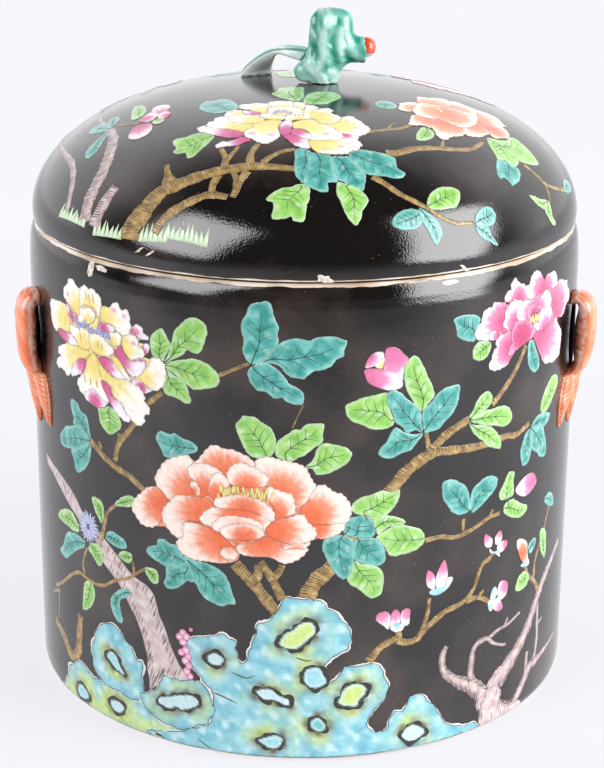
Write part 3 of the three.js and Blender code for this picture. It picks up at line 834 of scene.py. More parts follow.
def right_peony(paint, tones, blush):
    """The flower at the upper right."""
    petals(paint, 9, (
        (tones, 84, 174, 69, 170.8, 69.6, 173.9, 72, 176.4, 72.4, 178.9, 74.3, 180.8, 76.8, 181, 78.4, 182.6,
         82, 182, 84, 181.7, 84.6, 179.5, 84, 175.8, 84.6, 171.4, 79.6, 170.8, 76.5, 170.8, 75.3, 168,
         73.4, 168.6, 70.9, 169.5),
        (tones, 92, 181, 84, 182, 84.6, 185, 87.4, 186, 87.8, 188.3, 90.3, 189.8, 91.8, 187.9, 94.6, 186.7,
         96.5, 185.4, 97, 182.6, 96.5, 179.5, 92, 180.8, 89, 181.7, 86.5, 182),
        (tones, 109, 181, 96.5, 185, 99, 185.8, 100.3, 188.3, 103.4, 190, 106.5, 189, 108.4, 187, 110, 185,
         111.5, 187, 115.3, 186.7, 118.4, 186.7, 120.3, 184.5, 121.2, 181.7, 119, 180, 115.3, 180.8,
         110.3, 181.4, 106.5, 180.8, 101.5, 180, 97.8, 180.8),
        (tones, 118, 172, 120.3, 180.4, 122.8, 182, 126.5, 181.4, 130.3, 179.8, 132.8, 179.5, 133.4, 177,
         136.5, 174.5, 137.8, 172, 136.5, 170.4, 132.8, 169.5, 130.9, 167, 127.8, 165.8, 124, 166.4,
         120.3, 167.6, 117.8, 170.8, 117, 174.5, 115.9, 178.3, 117.8, 180.8),
        (tones, 107, 165, 102, 165.8, 105.3, 166.4, 107.8, 164.8, 111.5, 164.5, 115.3, 166.4, 118.4, 167,
         122, 167, 123.4, 164.5, 125.9, 162, 128.4, 159.5, 128.4, 155.8, 127.8, 153.3, 127, 150, 124, 149.5,
         120.3, 148.9, 116.5, 150, 114, 150, 110.9, 152, 109, 154.5, 107, 157, 104.6, 160.8, 102.8, 163.3),
        (tones, 88, 163, 79.6, 167, 81.5, 168.9, 84.6, 168.9, 87.8, 169.5, 89.6, 167, 89, 164.5, 87, 161.4,
         87.8, 158.3, 87, 156.4, 84.6, 155.8, 80.3, 155.4, 77.4, 156.4, 76.5, 158.3, 77.8, 160, 78.7, 163.3,
         80.3, 164.5),
        (tones, 81, 169, 75.9, 170, 77.8, 171.4, 80.3, 171, 81.5, 168.9, 79.6, 167.6, 77, 168.3),
        (tones, 91, 172, 84, 177, 85.9, 179.5, 89, 181.4, 92, 180.8, 94.6, 179.5, 93.4, 176.4, 90.9, 174.5,
         91.5, 172.6, 90.3, 170, 87, 170, 84, 172, 83.4, 173.9, 84.6, 175),
        (tones, 103, 173, 90.9, 175.8, 92, 177.6, 94, 179.5, 96.5, 180, 99, 179.5, 101.5, 179.5, 104, 178.6,
         107.8, 179.5, 111.5, 180.8, 114, 178.9, 115.9, 175.8, 114, 173.3, 110.3, 172.6, 107.8, 173.9,
         104, 174.5, 101.5, 173.3, 99, 171.4, 95.3, 172, 92, 173.3),
        (blush, 103, 173, 97.8, 173.9, 98, 175.8, 99.6, 177.3, 102, 177, 104.6, 175.8, 107.8, 175.4, 107, 173.9,
         104, 174.5, 100.9, 172.6, 100.3, 170.4)), white=0.6)
    stamens(paint, (104.6, 171.4), (4.2, 1.6), STAMEN, tones[0], 17, 9)
    petals(paint, 19, (
        (tones, 112, 164, 107.8, 173.3, 111.5, 173.3, 115.9, 172.6, 117, 170.4, 115.3, 167, 111.5, 165,
         107.8, 165, 104, 167, 102.8, 168.9, 106.5, 168.9),
        (blush, 95, 166, 89.6, 171.4, 91.5, 172.6, 95.3, 172, 98.4, 171.4, 101.5, 168.9, 104, 166.4,
         101.5, 163.9, 97.8, 162.6, 94, 161.7, 90.3, 160.8, 87.8, 159.5, 87, 161.4, 89, 164.5,
         88.4, 167.6)), white=0.6)


def wall_buds(paint, tones, yellow, coral, cup):
    """The opening buds and the small flowers between the leaves and on the rocks."""
    petals(paint, 11, (
        (tones, 24, 168, 23.4, 163.9, 23, 165.3, 24.4, 168.1, 26.6, 169.9, 29.4, 169.9, 30.5, 168.5, 30.1, 167.4,
         28, 166, 26.6, 164.6),
        (tones, 33.7, 169.5, 30.9, 171, 33, 171.6, 35.9, 170.6, 38, 168.5, 40.1, 166, 38.4, 163.1, 38, 160.3,
         37.3, 156, 33.7, 154.9, 31, 158, 30, 163, 30.2, 167.5),
        (tones, 24.4, 160, 22.6, 163.1, 25.1, 163.9, 29.4, 163.1, 33, 161.7, 35.9, 160.3, 38, 156.7, 36.6, 154.9,
         32.3, 154.6, 28, 156, 24.4, 158.1, 23, 161),
        (yellow, 30, 164, 26.6, 164.6, 28.7, 166.7, 30.5, 167.5, 30.2, 165, 29.4, 163.2),
        (tones, 109, 103, 95.1, 101.7, 97.3, 103.9, 100.9, 105.6, 104.4, 106.3, 108, 105.3, 110.1, 102.4,
         104, 101, 98, 101),
        (tones, 110, 100, 95.1, 101.7, 98, 101.2, 104, 101.2, 110.1, 102.4, 110.5, 100, 106.6, 97.7, 102.3, 97,
         97.3, 99.1)), frill=0.1)
    petals(paint, 10, (
        (tones, 31, 64.5, 29.1, 60.6, 30.1, 63.4, 33, 63.8, 35.1, 62, 35.1, 59.1, 34.4, 55.9, 32.3, 57.7),
        (tones, 37, 65, 35.1, 59.9, 35.5, 62.7, 36.9, 64.1, 38.7, 63.1, 39.4, 60.6, 39, 57.7, 37.3, 55.2,
         35.1, 56.3),
        (tones, 43.5, 63, 39.4, 62, 40.9, 63.8, 43.4, 63.1, 43.4, 59.9, 43, 57, 40.9, 56.3, 39.4, 58.4),
        (cup, 38, 57, 35, 56.6, 38, 58.2, 41, 56.8, 40, 54.6, 37, 54.4),
        (tones, 50.6, 79, 49.8, 74.9, 50.5, 78.4, 53, 77, 54.1, 74.1, 53.7, 69.9, 50.9, 71.3),
        (tones, 58, 82.5, 54.1, 73.4, 55.5, 78.4, 58, 81.6, 59.4, 78.4, 59.8, 74.1, 58.7, 70.6, 55.1, 69.9),
        (cup, 56, 69, 58.7, 70.6, 59.4, 73.4, 62.3, 73.1, 60.9, 69.9, 58, 67.7, 54.4, 67, 51.6, 68.4, 52.3, 69.9),
        (tones, 77.6, 88, 77.3, 85.2, 78, 87.7, 80.1, 86.6, 82.3, 84.1, 81.6, 81.3, 78.7, 82),
        (tones, 87, 87.5, 83.7, 84.9, 86.6, 87, 88, 84.9, 87.3, 82, 84.4, 81.3),
        (tones, 91.5, 80.5, 85.1, 80.6, 88, 82, 91.2, 81.3, 91.2, 79.1, 88.7, 77.4, 85.9, 77.7),
        (cup, 84, 78, 80.5, 81, 83, 79, 86, 78.5, 87, 75.5, 84, 77.5, 81.5, 78.5),
        (cup, 83, 62, 83, 62, 85.1, 63.1, 86.6, 59.9, 84.4, 57.7, 82.3, 58.4),
        (tones, 92.5, 62, 86.6, 62, 88.7, 64.5, 92.3, 63.1, 93, 59.9, 91.6, 57, 87.3, 56.3),
        (tones, 90.5, 51, 83.7, 57, 86.6, 57.7, 89.4, 54.9, 90.1, 52, 87.3, 51.3, 84.4, 53.4),
        (cup, 82, 55, 81, 57.5, 83.5, 58, 84.5, 55, 83, 52.8, 81.5, 54),
        (coral, 102, 72, 97.6, 77.7, 98.7, 79.5, 102.3, 78.4, 105.5, 75.6, 106.2, 71.3, 106.6, 67.7, 104.4, 67,
         101.6, 69.1, 99.4, 72.7),
        (cup, 104, 66.6, 101.2, 67, 106.6, 68.4, 107.6, 65.6, 104.4, 65.2)), frill=0.1)


def wall_berries(paint, blue, berry):
    """A blue flower of fine strokes, and a string of berries."""
    centre, size, count = np.array([-97, 84]), 5.4, 64
    paint.patch(ellipse(*centre, size, size, 30), plain(blue[0] * 0.6), 8)
    for k in range(count):
        away = np.array([math.cos(k * 2.4), math.sin(k * 2.4)])
        reach = 7.6 - 3.4 * (k / count)
        run = np.linspace(0.25, 1, 4)[:, None] * reach
        paint.line(centre + away * run, np.array([0.4, 0.7, 0.75, 0.3]), blue[1 + k % 2], 9 + 6 * k / count)
    for k, (x, y, size) in enumerate((
            (-49.5, 49.5, 1.7), (-48, 51.5, 1.6), (-46.5, 50, 1.7), (-48, 47.5, 1.8), (-46.8, 44, 1.8),
            (-48.8, 42.8, 1.6), (-45.8, 41.5, 1.6), (-47, 39.5, 1.8), (-45.5, 37.5, 1.6), (-46.5, 35, 1.7),
            (-45, 33, 1.5), (-44.5, 53.5, 0.9))):
        paint.patch(ellipse(x, y, size, size, 14), lambda flat, depth: mixed(berry[0], berry[2], depth / 1.4),
                    9 + k % 3, grid=0.8)
        strokes(paint, BROWN_INK, 12, 0.5, (x - 0.2, y + 0.3, x + 0.2, y + 0.3))


def wall_leaves(paint, palette):
    """The leaves on the wall; each row is base, tip and outline."""
    leaves(paint, palette.green, (
        (-54.5, 162, -55.5, 175, -59.8, 172.4, -57.3, 174.6, -55.1, 175.5, -53.7, 173.9, -52.3, 171, -50.9, 169.6,
         -52.3, 167.4, -53.7, 164.6, -55.1, 162.4, -58, 163.1, -59.8, 164.6, -60.5, 167.4, -60.5, 170.3),
        (-54.5, 162, -38, 180, -54.5, 162, -52.5, 166, -51, 170.5, -50.1, 174.6, -48, 177.4, -45.1, 180.3,
         -42.3, 181.4, -39.5, 181, -37.3, 179.4, -36.3, 177.2, -37, 173.5, -39.2, 168.2, -42, 167.7,
         -44.5, 168.5, -46, 166.5, -49.5, 164.5, -52.5, 162.8),
        (-54.5, 161, -32.5, 158.5, -54.5, 161, -50, 163.5, -46, 164.5, -42.5, 165.4, -38.4, 164.8, -34.9, 163.1,
         -32.2, 160.5, -31.6, 157.8, -33.4, 155.2, -38.4, 153.8, -42, 153.2, -44.5, 154.6, -47.5, 156.5,
         -51.5, 159.2),
        (-54, 160.5, -43.8, 148, -53.9, 160.5, -50.5, 158, -47, 156.5, -44.9, 154.5, -44, 151, -43, 149.2,
         -43.7, 147.5, -46, 147.5, -49.5, 148.9, -52.3, 149.3, -54.5, 150.3, -55, 153, -54, 157.5),
        (-81.5, 139, -82, 127.8, -88.4, 137.4, -85.1, 137.8, -81.6, 139.2, -78, 137.4, -75.5, 133.9, -76.2, 131,
         -78, 129.6, -80.1, 128.1, -82.3, 127.4, -85.1, 128.9, -87.3, 131, -88, 133.9),
        (-14, 129, -24, 143.5, -25.6, 141, -24.1, 143.1, -22.7, 144.9, -20.6, 144.9, -17.7, 144.6, -15.6, 142.8,
         -13.4, 141.7, -11.3, 139.6, -10.2, 136.7, -10.2, 133.1, -11.3, 130.3, -13.4, 128.1, -17, 128.1,
         -20.6, 129.6, -22.7, 133.1, -24.5, 137.4),
        (-6, 128, 7.5, 142.5, -9.9, 129.6, -10.6, 133.1, -9.1, 136, -6.3, 138.1, -3.4, 140.3, -0.6, 140.6,
         0.9, 142.4, 4.4, 142.8, 7.6, 142.8, 8, 141.7, 7.6, 138.9, 7.3, 135.3, 4.4, 133.1, 0.9, 130.3,
         -2, 128.9, -4.9, 127.4, -7.7, 128.1),
        (1.5, 125.5, 18.5, 130, 0.9, 125.3, 3.7, 128.1, 5.1, 132.4, 8, 134.9, 12.3, 134.2, 15.9, 133.1, 18.4, 131,
         18.4, 128.9, 16.6, 126.4, 13.7, 124.6, 10.9, 123.1, 8, 122.4, 5.1, 122.4, 3.7, 124.6),
        (35, 143, 16.3, 149, 15.9, 149.6, 18.7, 151, 22.3, 152.4, 26.6, 153.1, 30.9, 153.9, 33, 152.4, 33.7, 149.6,
         33, 147.4, 34.8, 141.7, 33, 139.9, 29.4, 139.2, 25.1, 139.9, 22.3, 141.7, 18.7, 143.1, 16.6, 145.3),
        (46, 144, 42.3, 167, 38.4, 163.9, 40.1, 166, 42.3, 167.4, 44.8, 165.3, 46.6, 161.7, 48.7, 157.4,
         50.5, 153.9, 51.2, 150.3, 48.7, 147.4, 45.9, 144.6, 43.7, 146.7, 41.6, 150.3, 39.4, 153.9, 38.4, 158.9),
        (68, 138, 77.5, 147, 67.3, 138.9, 69.4, 141.7, 70.9, 144.6, 73, 146.7, 75.9, 147.8, 78, 146.7, 79.1, 144.6,
         78, 141.7, 75.9, 140.3, 72.3, 138.9, 69.4, 137.8),
        (68, 137.5, 91, 134, 68, 137.4, 71.6, 138.9, 75.9, 139.9, 80.9, 139.9, 85.1, 139.9, 88, 138.9, 90.1, 136.7,
         91, 134.6, 90.5, 132.4, 88, 131, 85.1, 131, 81.6, 132.4, 78, 133.1, 73.7, 134.6, 70.1, 136),
        (68, 137, 84.8, 122.8, 67.6, 136.7, 70.1, 135.3, 73.7, 134.6, 78, 133.1, 80.1, 131.7, 82.3, 129.6,
         84.4, 126.7, 85.1, 123.9, 84.4, 122.1, 82.3, 122.8, 79.4, 123.9, 76.6, 125.3, 75.1, 127.4,
         72.3, 129.6, 69.4, 132.4),
        (76.5, 167, 68.5, 162, 68, 165.3, 69.4, 167.8, 71.6, 168.5, 74.4, 168.1, 76.9, 167.4, 77.3, 165.3,
         75.9, 162.4, 73.7, 161, 70.9, 161, 68.4, 162.4),
        (112, 130, 126, 142, 111.6, 130.3, 111.6, 133.9, 113.7, 137.4, 116.6, 140.3, 120.1, 142.4, 123.7, 142.8,
         126.9, 141, 127.3, 137.4, 123.7, 133.9, 120.1, 131, 116.6, 129.2, 113.7, 129.2),
        (91, 95, 92.5, 110.5, 85.1, 103.1, 86.6, 105.3, 88, 107.4, 90.1, 110.3, 92.3, 110.6, 94.1, 109.6, 93.7, 106,
         94.1, 103.1, 93.7, 100, 88, 99.5, 85.5, 101),
        (-104, 81, -122, 80, -122.3, 79.9, -120.9, 82.7, -117.3, 84.9, -113.7, 86.3, -109.4, 86.6, -105.9, 84.1,
         -103.7, 81.3, -104.4, 79.1, -108.7, 78.4, -113.7, 78.8, -118.7, 79.1),
        (-96.5, 76.5, -89, 69.5, -97.3, 74.9, -95.1, 77.7, -90.9, 78.1, -88, 75.6, -88, 71.3, -90.9, 68.8,
         -93.7, 71.3, -96.6, 73.4),
        (-87.5, 89, -93.5, 98, -94.1, 97.4, -92.3, 98.4, -88.7, 98.1, -86.6, 95.6, -86.6, 91.3, -88, 88.4,
         -90.1, 89.9, -92.3, 92.7),
        (-79, 99, -70, 104, -80.1, 98.4, -78.7, 100.6, -75, 103.5, -71, 104.5, -69, 103, -71, 100, -75, 99),
        (-97, 60, -103, 45.8, -103, 45.6, -102.3, 52, -101.2, 57.7, -98, 59.9, -95.1, 59.1, -93.7, 55.6,
         -95.1, 51.3, -98.7, 47),
        (-71.5, 78.5, -78.7, 77, -78.7, 77, -78, 79.1, -74.4, 80.2, -71.6, 79.5, -71.6, 77, -73.7, 75.2,
         -76.6, 75.9),
        (-65, 75, -59.5, 70, -65.1, 75.6, -62.3, 76.3, -59.4, 75.6, -58.6, 72.7, -59.4, 69.9, -61.6, 69.9,
         -64.4, 72.7),
        (20.5, 86, 28, 70, 20.1, 86.3, 18.7, 82, 17.3, 79.1, 18.7, 76.6, 22.3, 74.1, 25.1, 71.3, 27.6, 69.9,
         30.9, 71.3, 31.9, 74.9, 31.9, 79.1, 30.1, 82.7, 26.6, 84.1, 22.3, 85.2),
        (48.5, 92.5, 29, 95, 28.7, 95.6, 31.6, 97.7, 35.1, 99.5, 38, 99.9, 42.3, 98.4, 46.6, 96.6, 48.6, 94.1,
         48.7, 91.3, 45.9, 88.4, 42.3, 87.4, 38, 86.8, 36.6, 86.6, 33.7, 87.7, 32.3, 90.6, 30.1, 93.4),
        (25, 103, 37.5, 113.5, 19.4, 110.3, 22.3, 112.4, 27.3, 113.5, 30.1, 114.6, 33.7, 113.5, 37.6, 113.9,
         37.6, 111, 35.9, 107.4, 33, 104.6, 30.1, 102.4, 26.6, 103.1, 25.1, 104.6, 21.6, 105.3, 18.7, 107.4),
        (28, 99, 40, 101, 27.3, 102.5, 31, 104.5, 35, 103.5, 39, 102, 40.5, 100, 37, 99.5, 33, 99, 29.5, 96.5,
         28.4, 98.4),
        (122, 63, 117, 77, 116.6, 73.4, 116.6, 77, 119.4, 77.4, 122.3, 74.9, 123.4, 70.6, 123.4, 65.6, 122.3, 62.7,
         120.1, 64.9, 118, 67.7),
        (106, 62, 99, 57.5, 98.7, 59.1, 100.1, 62, 103.7, 63.4, 107.3, 62, 108.4, 59.1, 106.6, 56.3, 102.3, 55.6,
         98.7, 56.6),
        (88, 95.5, 104, 91, 88, 94.9, 89.4, 97.7, 93.7, 98.4, 97.3, 96.3, 100.9, 94.1, 104.1, 92.7, 103.7, 90.2,
         99.4, 88.8, 95.1, 89.9, 90.9, 92)))
    leaves(paint, palette.teal, (
        (-93.7, 121.7, -106, 135.5, -93.7, 122.4, -94.4, 127.4, -95.9, 131.7, -99.4, 132.4, -102.3, 135.3,
         -105.1, 136, -107.3, 134.9, -106.6, 131, -105.1, 128.1, -105.9, 126, -103, 124.6, -99.4, 123.9,
         -96.6, 122.4),
        (-94, 121.5, -117, 115, -94.4, 121.7, -99.4, 124.6, -104.4, 125.3, -108, 123.9, -112.3, 122.4,
         -115.9, 118.9, -117.3, 116.7, -116.6, 113.9, -113.7, 113.1, -109.4, 113.9, -105.1, 114.6,
         -100.9, 115.3, -96.6, 118.1),
        (-94, 120.5, -104, 106, -93.7, 120.3, -93.4, 117.4, -94.8, 113.1, -96.6, 110.3, -98.7, 108.1,
         -100.9, 106.4, -103.4, 105.3, -105.1, 106.7, -105.9, 109.6, -107.3, 111.7, -108, 113.9, -104.4, 115.3,
         -99.4, 118.1, -95.9, 120.3),
        (-42, 129.5, -58, 131, -58.7, 131, -57.6, 133.9, -55.9, 134.6, -53, 133.9, -50.1, 134.6, -47.3, 133.1,
         -43.7, 132.4, -41.6, 131.4, -40.5, 129.6, -41.6, 128.1, -45.1, 126.7, -49.4, 125.3, -52.3, 123.9,
         -55.1, 124.6, -56.6, 127.4),
        (-19.5, 165, -14, 189, -19.5, 165.3, -21.6, 167.4, -22.7, 170.3, -22.4, 174.6, -23.3, 178.9, -23.1, 181.7,
         -21.3, 184.6, -20.6, 187.4, -18.4, 188.9, -15.9, 189.4, -13.4, 189.9, -12, 188.1, -11.3, 185.3,
         -10.2, 182.4, -9.1, 180.3, -9.5, 177.4, -9.1, 174.6, -10.2, 171.7, -12, 169.6, -14.9, 167.4,
         -17.7, 165.6),
        (-19, 165, 15.5, 174.5, -18.4, 165.3, -14.9, 167.4, -11.3, 171.7, -8.4, 174.2, -5.6, 175.6, -2, 176,
         1.6, 175.3, 5.1, 176.4, 8.7, 176.9, 12.3, 176.4, 15.1, 175.3, 16.2, 174.6, 15.1, 171, 14.8, 168.9,
         12.3, 167.8, 10.5, 165.3, 7.3, 163.9, 3.7, 163.1, 0.1, 160.3, -2, 160.6, -4.9, 161, -7, 162.8,
         -9.1, 165.3, -13.4, 166),
        (-19, 165, 0, 151, -19.1, 164.6, -14.9, 166.7, -10.6, 164.6, -7, 161, -5.6, 158.9, -2, 156.7, 0.1, 154.6,
         0.3, 151.7, -0.6, 150.3, -3.4, 150.3, -6.3, 151.4, -7.7, 152.8, -10.6, 152.4, -12.7, 153.9,
         -14.1, 154.9, -17, 155.3, -19.1, 157.1, -20.6, 160.3, -20.6, 163.1),
        (46.5, 136.5, 33, 154, 32.3, 153.9, 34.4, 154.6, 37.3, 153.1, 40.1, 150.3, 43.7, 147.4, 45.5, 144.5,
         46.2, 140, 46.6, 136, 43.5, 137.5, 40.1, 136.7, 38, 139.6, 35.2, 141.7, 33.7, 146, 31.6, 149.6),
        (46, 135.8, 29.2, 128.6, 29.4, 131.7, 32.3, 134.6, 33.7, 138.1, 35.9, 139.6, 38.7, 137.4, 42.3, 136,
         46.6, 135.6, 44.4, 132.4, 41.6, 129.6, 38, 128.9, 36.6, 128.1, 33, 127.1, 30.1, 128.1, 28.7, 129.6),
        (47, 137, 62.3, 152.5, 45.9, 143.1, 47.3, 146, 50.1, 148.1, 53, 151.4, 56.6, 152.8, 60.1, 153.1,
         62.6, 152.8, 62.3, 148.9, 61.6, 145.3, 59.4, 141.7, 56.6, 139.6, 53.7, 136.7, 50.1, 136, 47.3, 136,
         46.6, 139.6),
        (70, 173, 59, 179, 58.7, 179.2, 62.3, 180.3, 66.6, 180.1, 70.1, 178.9, 71.2, 177.1, 70.1, 174.6,
         69.4, 171.7, 68.7, 169.2, 66.6, 169.2, 63, 170.6, 60.5, 172.4, 59.8, 176),
        (101, 162, 107, 149, 99.4, 160.3, 100.1, 162.8, 103, 162.4, 105.1, 158.9, 107.3, 155.3, 108.4, 152.4,
         108, 149.6, 105.1, 148.5, 102.3, 150.3, 100.1, 153.1, 99.4, 156.7),
        (104.5, 125, 120.5, 127, 104.4, 125.3, 106.6, 128.1, 110.1, 129.6, 114.4, 129.2, 118.7, 128.1,
         120.9, 126.7, 119.4, 124.6, 115.9, 123.1, 112.3, 123.9, 108, 124.6),
        (105, 125, 117.5, 110, 105.1, 125.3, 109.4, 124.6, 113.7, 123.9, 115.9, 120.3, 117.3, 117.4, 118.4, 113.9,
         118, 110.3, 115.1, 109.9, 112.3, 111, 109.4, 113.9, 106.6, 115.3, 105.1, 118.9),
        (104.4, 125, 101, 111, 104.4, 125.3, 100.9, 124.6, 99.4, 122.4, 98.4, 120.3, 97.4, 117.4, 98, 113.9,
         99.4, 111, 101.6, 110.6, 103.7, 111.7, 105.1, 114.6, 105.9, 118.1, 105.5, 121.7),
        (69.5, 98.5, 57, 114, 55.9, 111, 55.9, 113.9, 58, 114.9, 60.9, 114.6, 63.7, 113.1, 66.6, 111, 68.7, 107.4,
         69.4, 103.9, 69.8, 100.3, 65.1, 99, 60.9, 101, 58.7, 103.9, 56.6, 107.4),
        (70, 98.5, 83.5, 110.5, 69.8, 100.3, 69.4, 104.6, 70.9, 108.9, 73.7, 110.6, 77.3, 112.1, 80.9, 111.7,
         83.7, 110.3, 83.7, 107.4, 82.3, 105.3, 79.4, 103.1, 75.1, 100.3, 71, 98.5),
        (-99.5, 75.5, -121.5, 65, -99.4, 76.3, -103.7, 77.7, -108, 77.7, -113, 76.3, -115.9, 73.4, -118, 69.1,
         -121.6, 64.9, -115.9, 63.4, -111.6, 66.3, -108, 69.1, -103.7, 72, -100.9, 73.4),
        (-86, 83.5, -74.3, 83, -85.9, 84.1, -84.4, 85.9, -81.6, 86.6, -78, 85.6, -75.1, 84.5, -74.1, 82,
         -76.6, 80.6, -80.1, 80.6, -83.7, 81.3, -85.9, 82.7),
        (-73, 62.5, -78, 48, -72.3, 63.1, -76.6, 63.4, -79.4, 62, -82.3, 59.1, -84.1, 56.3, -83.7, 52.7,
         -81.6, 49.1, -78.7, 47.4, -77.1, 49.1, -78, 52, -78.7, 55.6, -78, 58.4, -75.1, 59.9),
        (-46.5, 82, -64, 83.5, -64.4, 83.4, -62.3, 85.6, -59.4, 86.6, -58.7, 89.1, -55.9, 89.9, -53, 88.4,
         -50.1, 88.4, -47, 84, -46, 80, -52, 79, -55.1, 78.4, -59.4, 79.9, -63, 81.3),
        (-46, 81.5, -55.5, 69.8, -46, 82, -50, 80, -55.1, 78.4, -55.1, 74.9, -56.2, 71.3, -54.4, 69.1, -50.9, 69.9,
         -48, 72, -45.9, 74.1, -43, 74.1, -43, 79),
        (-46, 83, -26.3, 67, -47, 84.5, -42, 83.4, -37.7, 83.1, -34.1, 82, -30.6, 79.9, -28.4, 76.3, -27, 71.3,
         -25.7, 67.4, -28.4, 67, -31.3, 65.7, -34.9, 66.6, -38.4, 68.1, -40.6, 70.6, -42, 73.4, -44, 77),
        (18, 101, 15.5, 79, 12.3, 97.7, 8.7, 95.9, 7.6, 92.7, 8.7, 89.1, 10.9, 84.9, 13, 81.3, 15.9, 78.8,
         18, 79.9, 19.8, 83.4, 20.1, 87.7, 20.1, 92, 19.4, 94.9, 16.6, 97),
        (20, 99, 31.8, 84.3, 20.1, 94.9, 19.4, 91.3, 20.1, 87, 22.3, 85.6, 25.9, 84.1, 29.4, 83.4, 31.9, 84.5,
         32.6, 87.7, 31.6, 91.3, 29.4, 94.1, 26.6, 95.6, 23, 95.9),
        (20, 97, 22, 104.5, 14.4, 101.3, 16, 103.5, 20, 104.8, 24, 104.5, 27.3, 102.5, 28.4, 98.4, 26.6, 95.6,
         20.9, 95.9, 16.6, 97.7),
        (106.6, 72, 113, 75, 106.6, 73.4, 109.4, 75.6, 112.3, 75.6, 113, 73.4, 110.9, 70.6, 108, 69.9),
        (119.5, 90, 130, 84, 119.4, 89.1, 120.9, 91.3, 125.1, 91.3, 129, 88, 130, 84, 123.7, 85.6)))


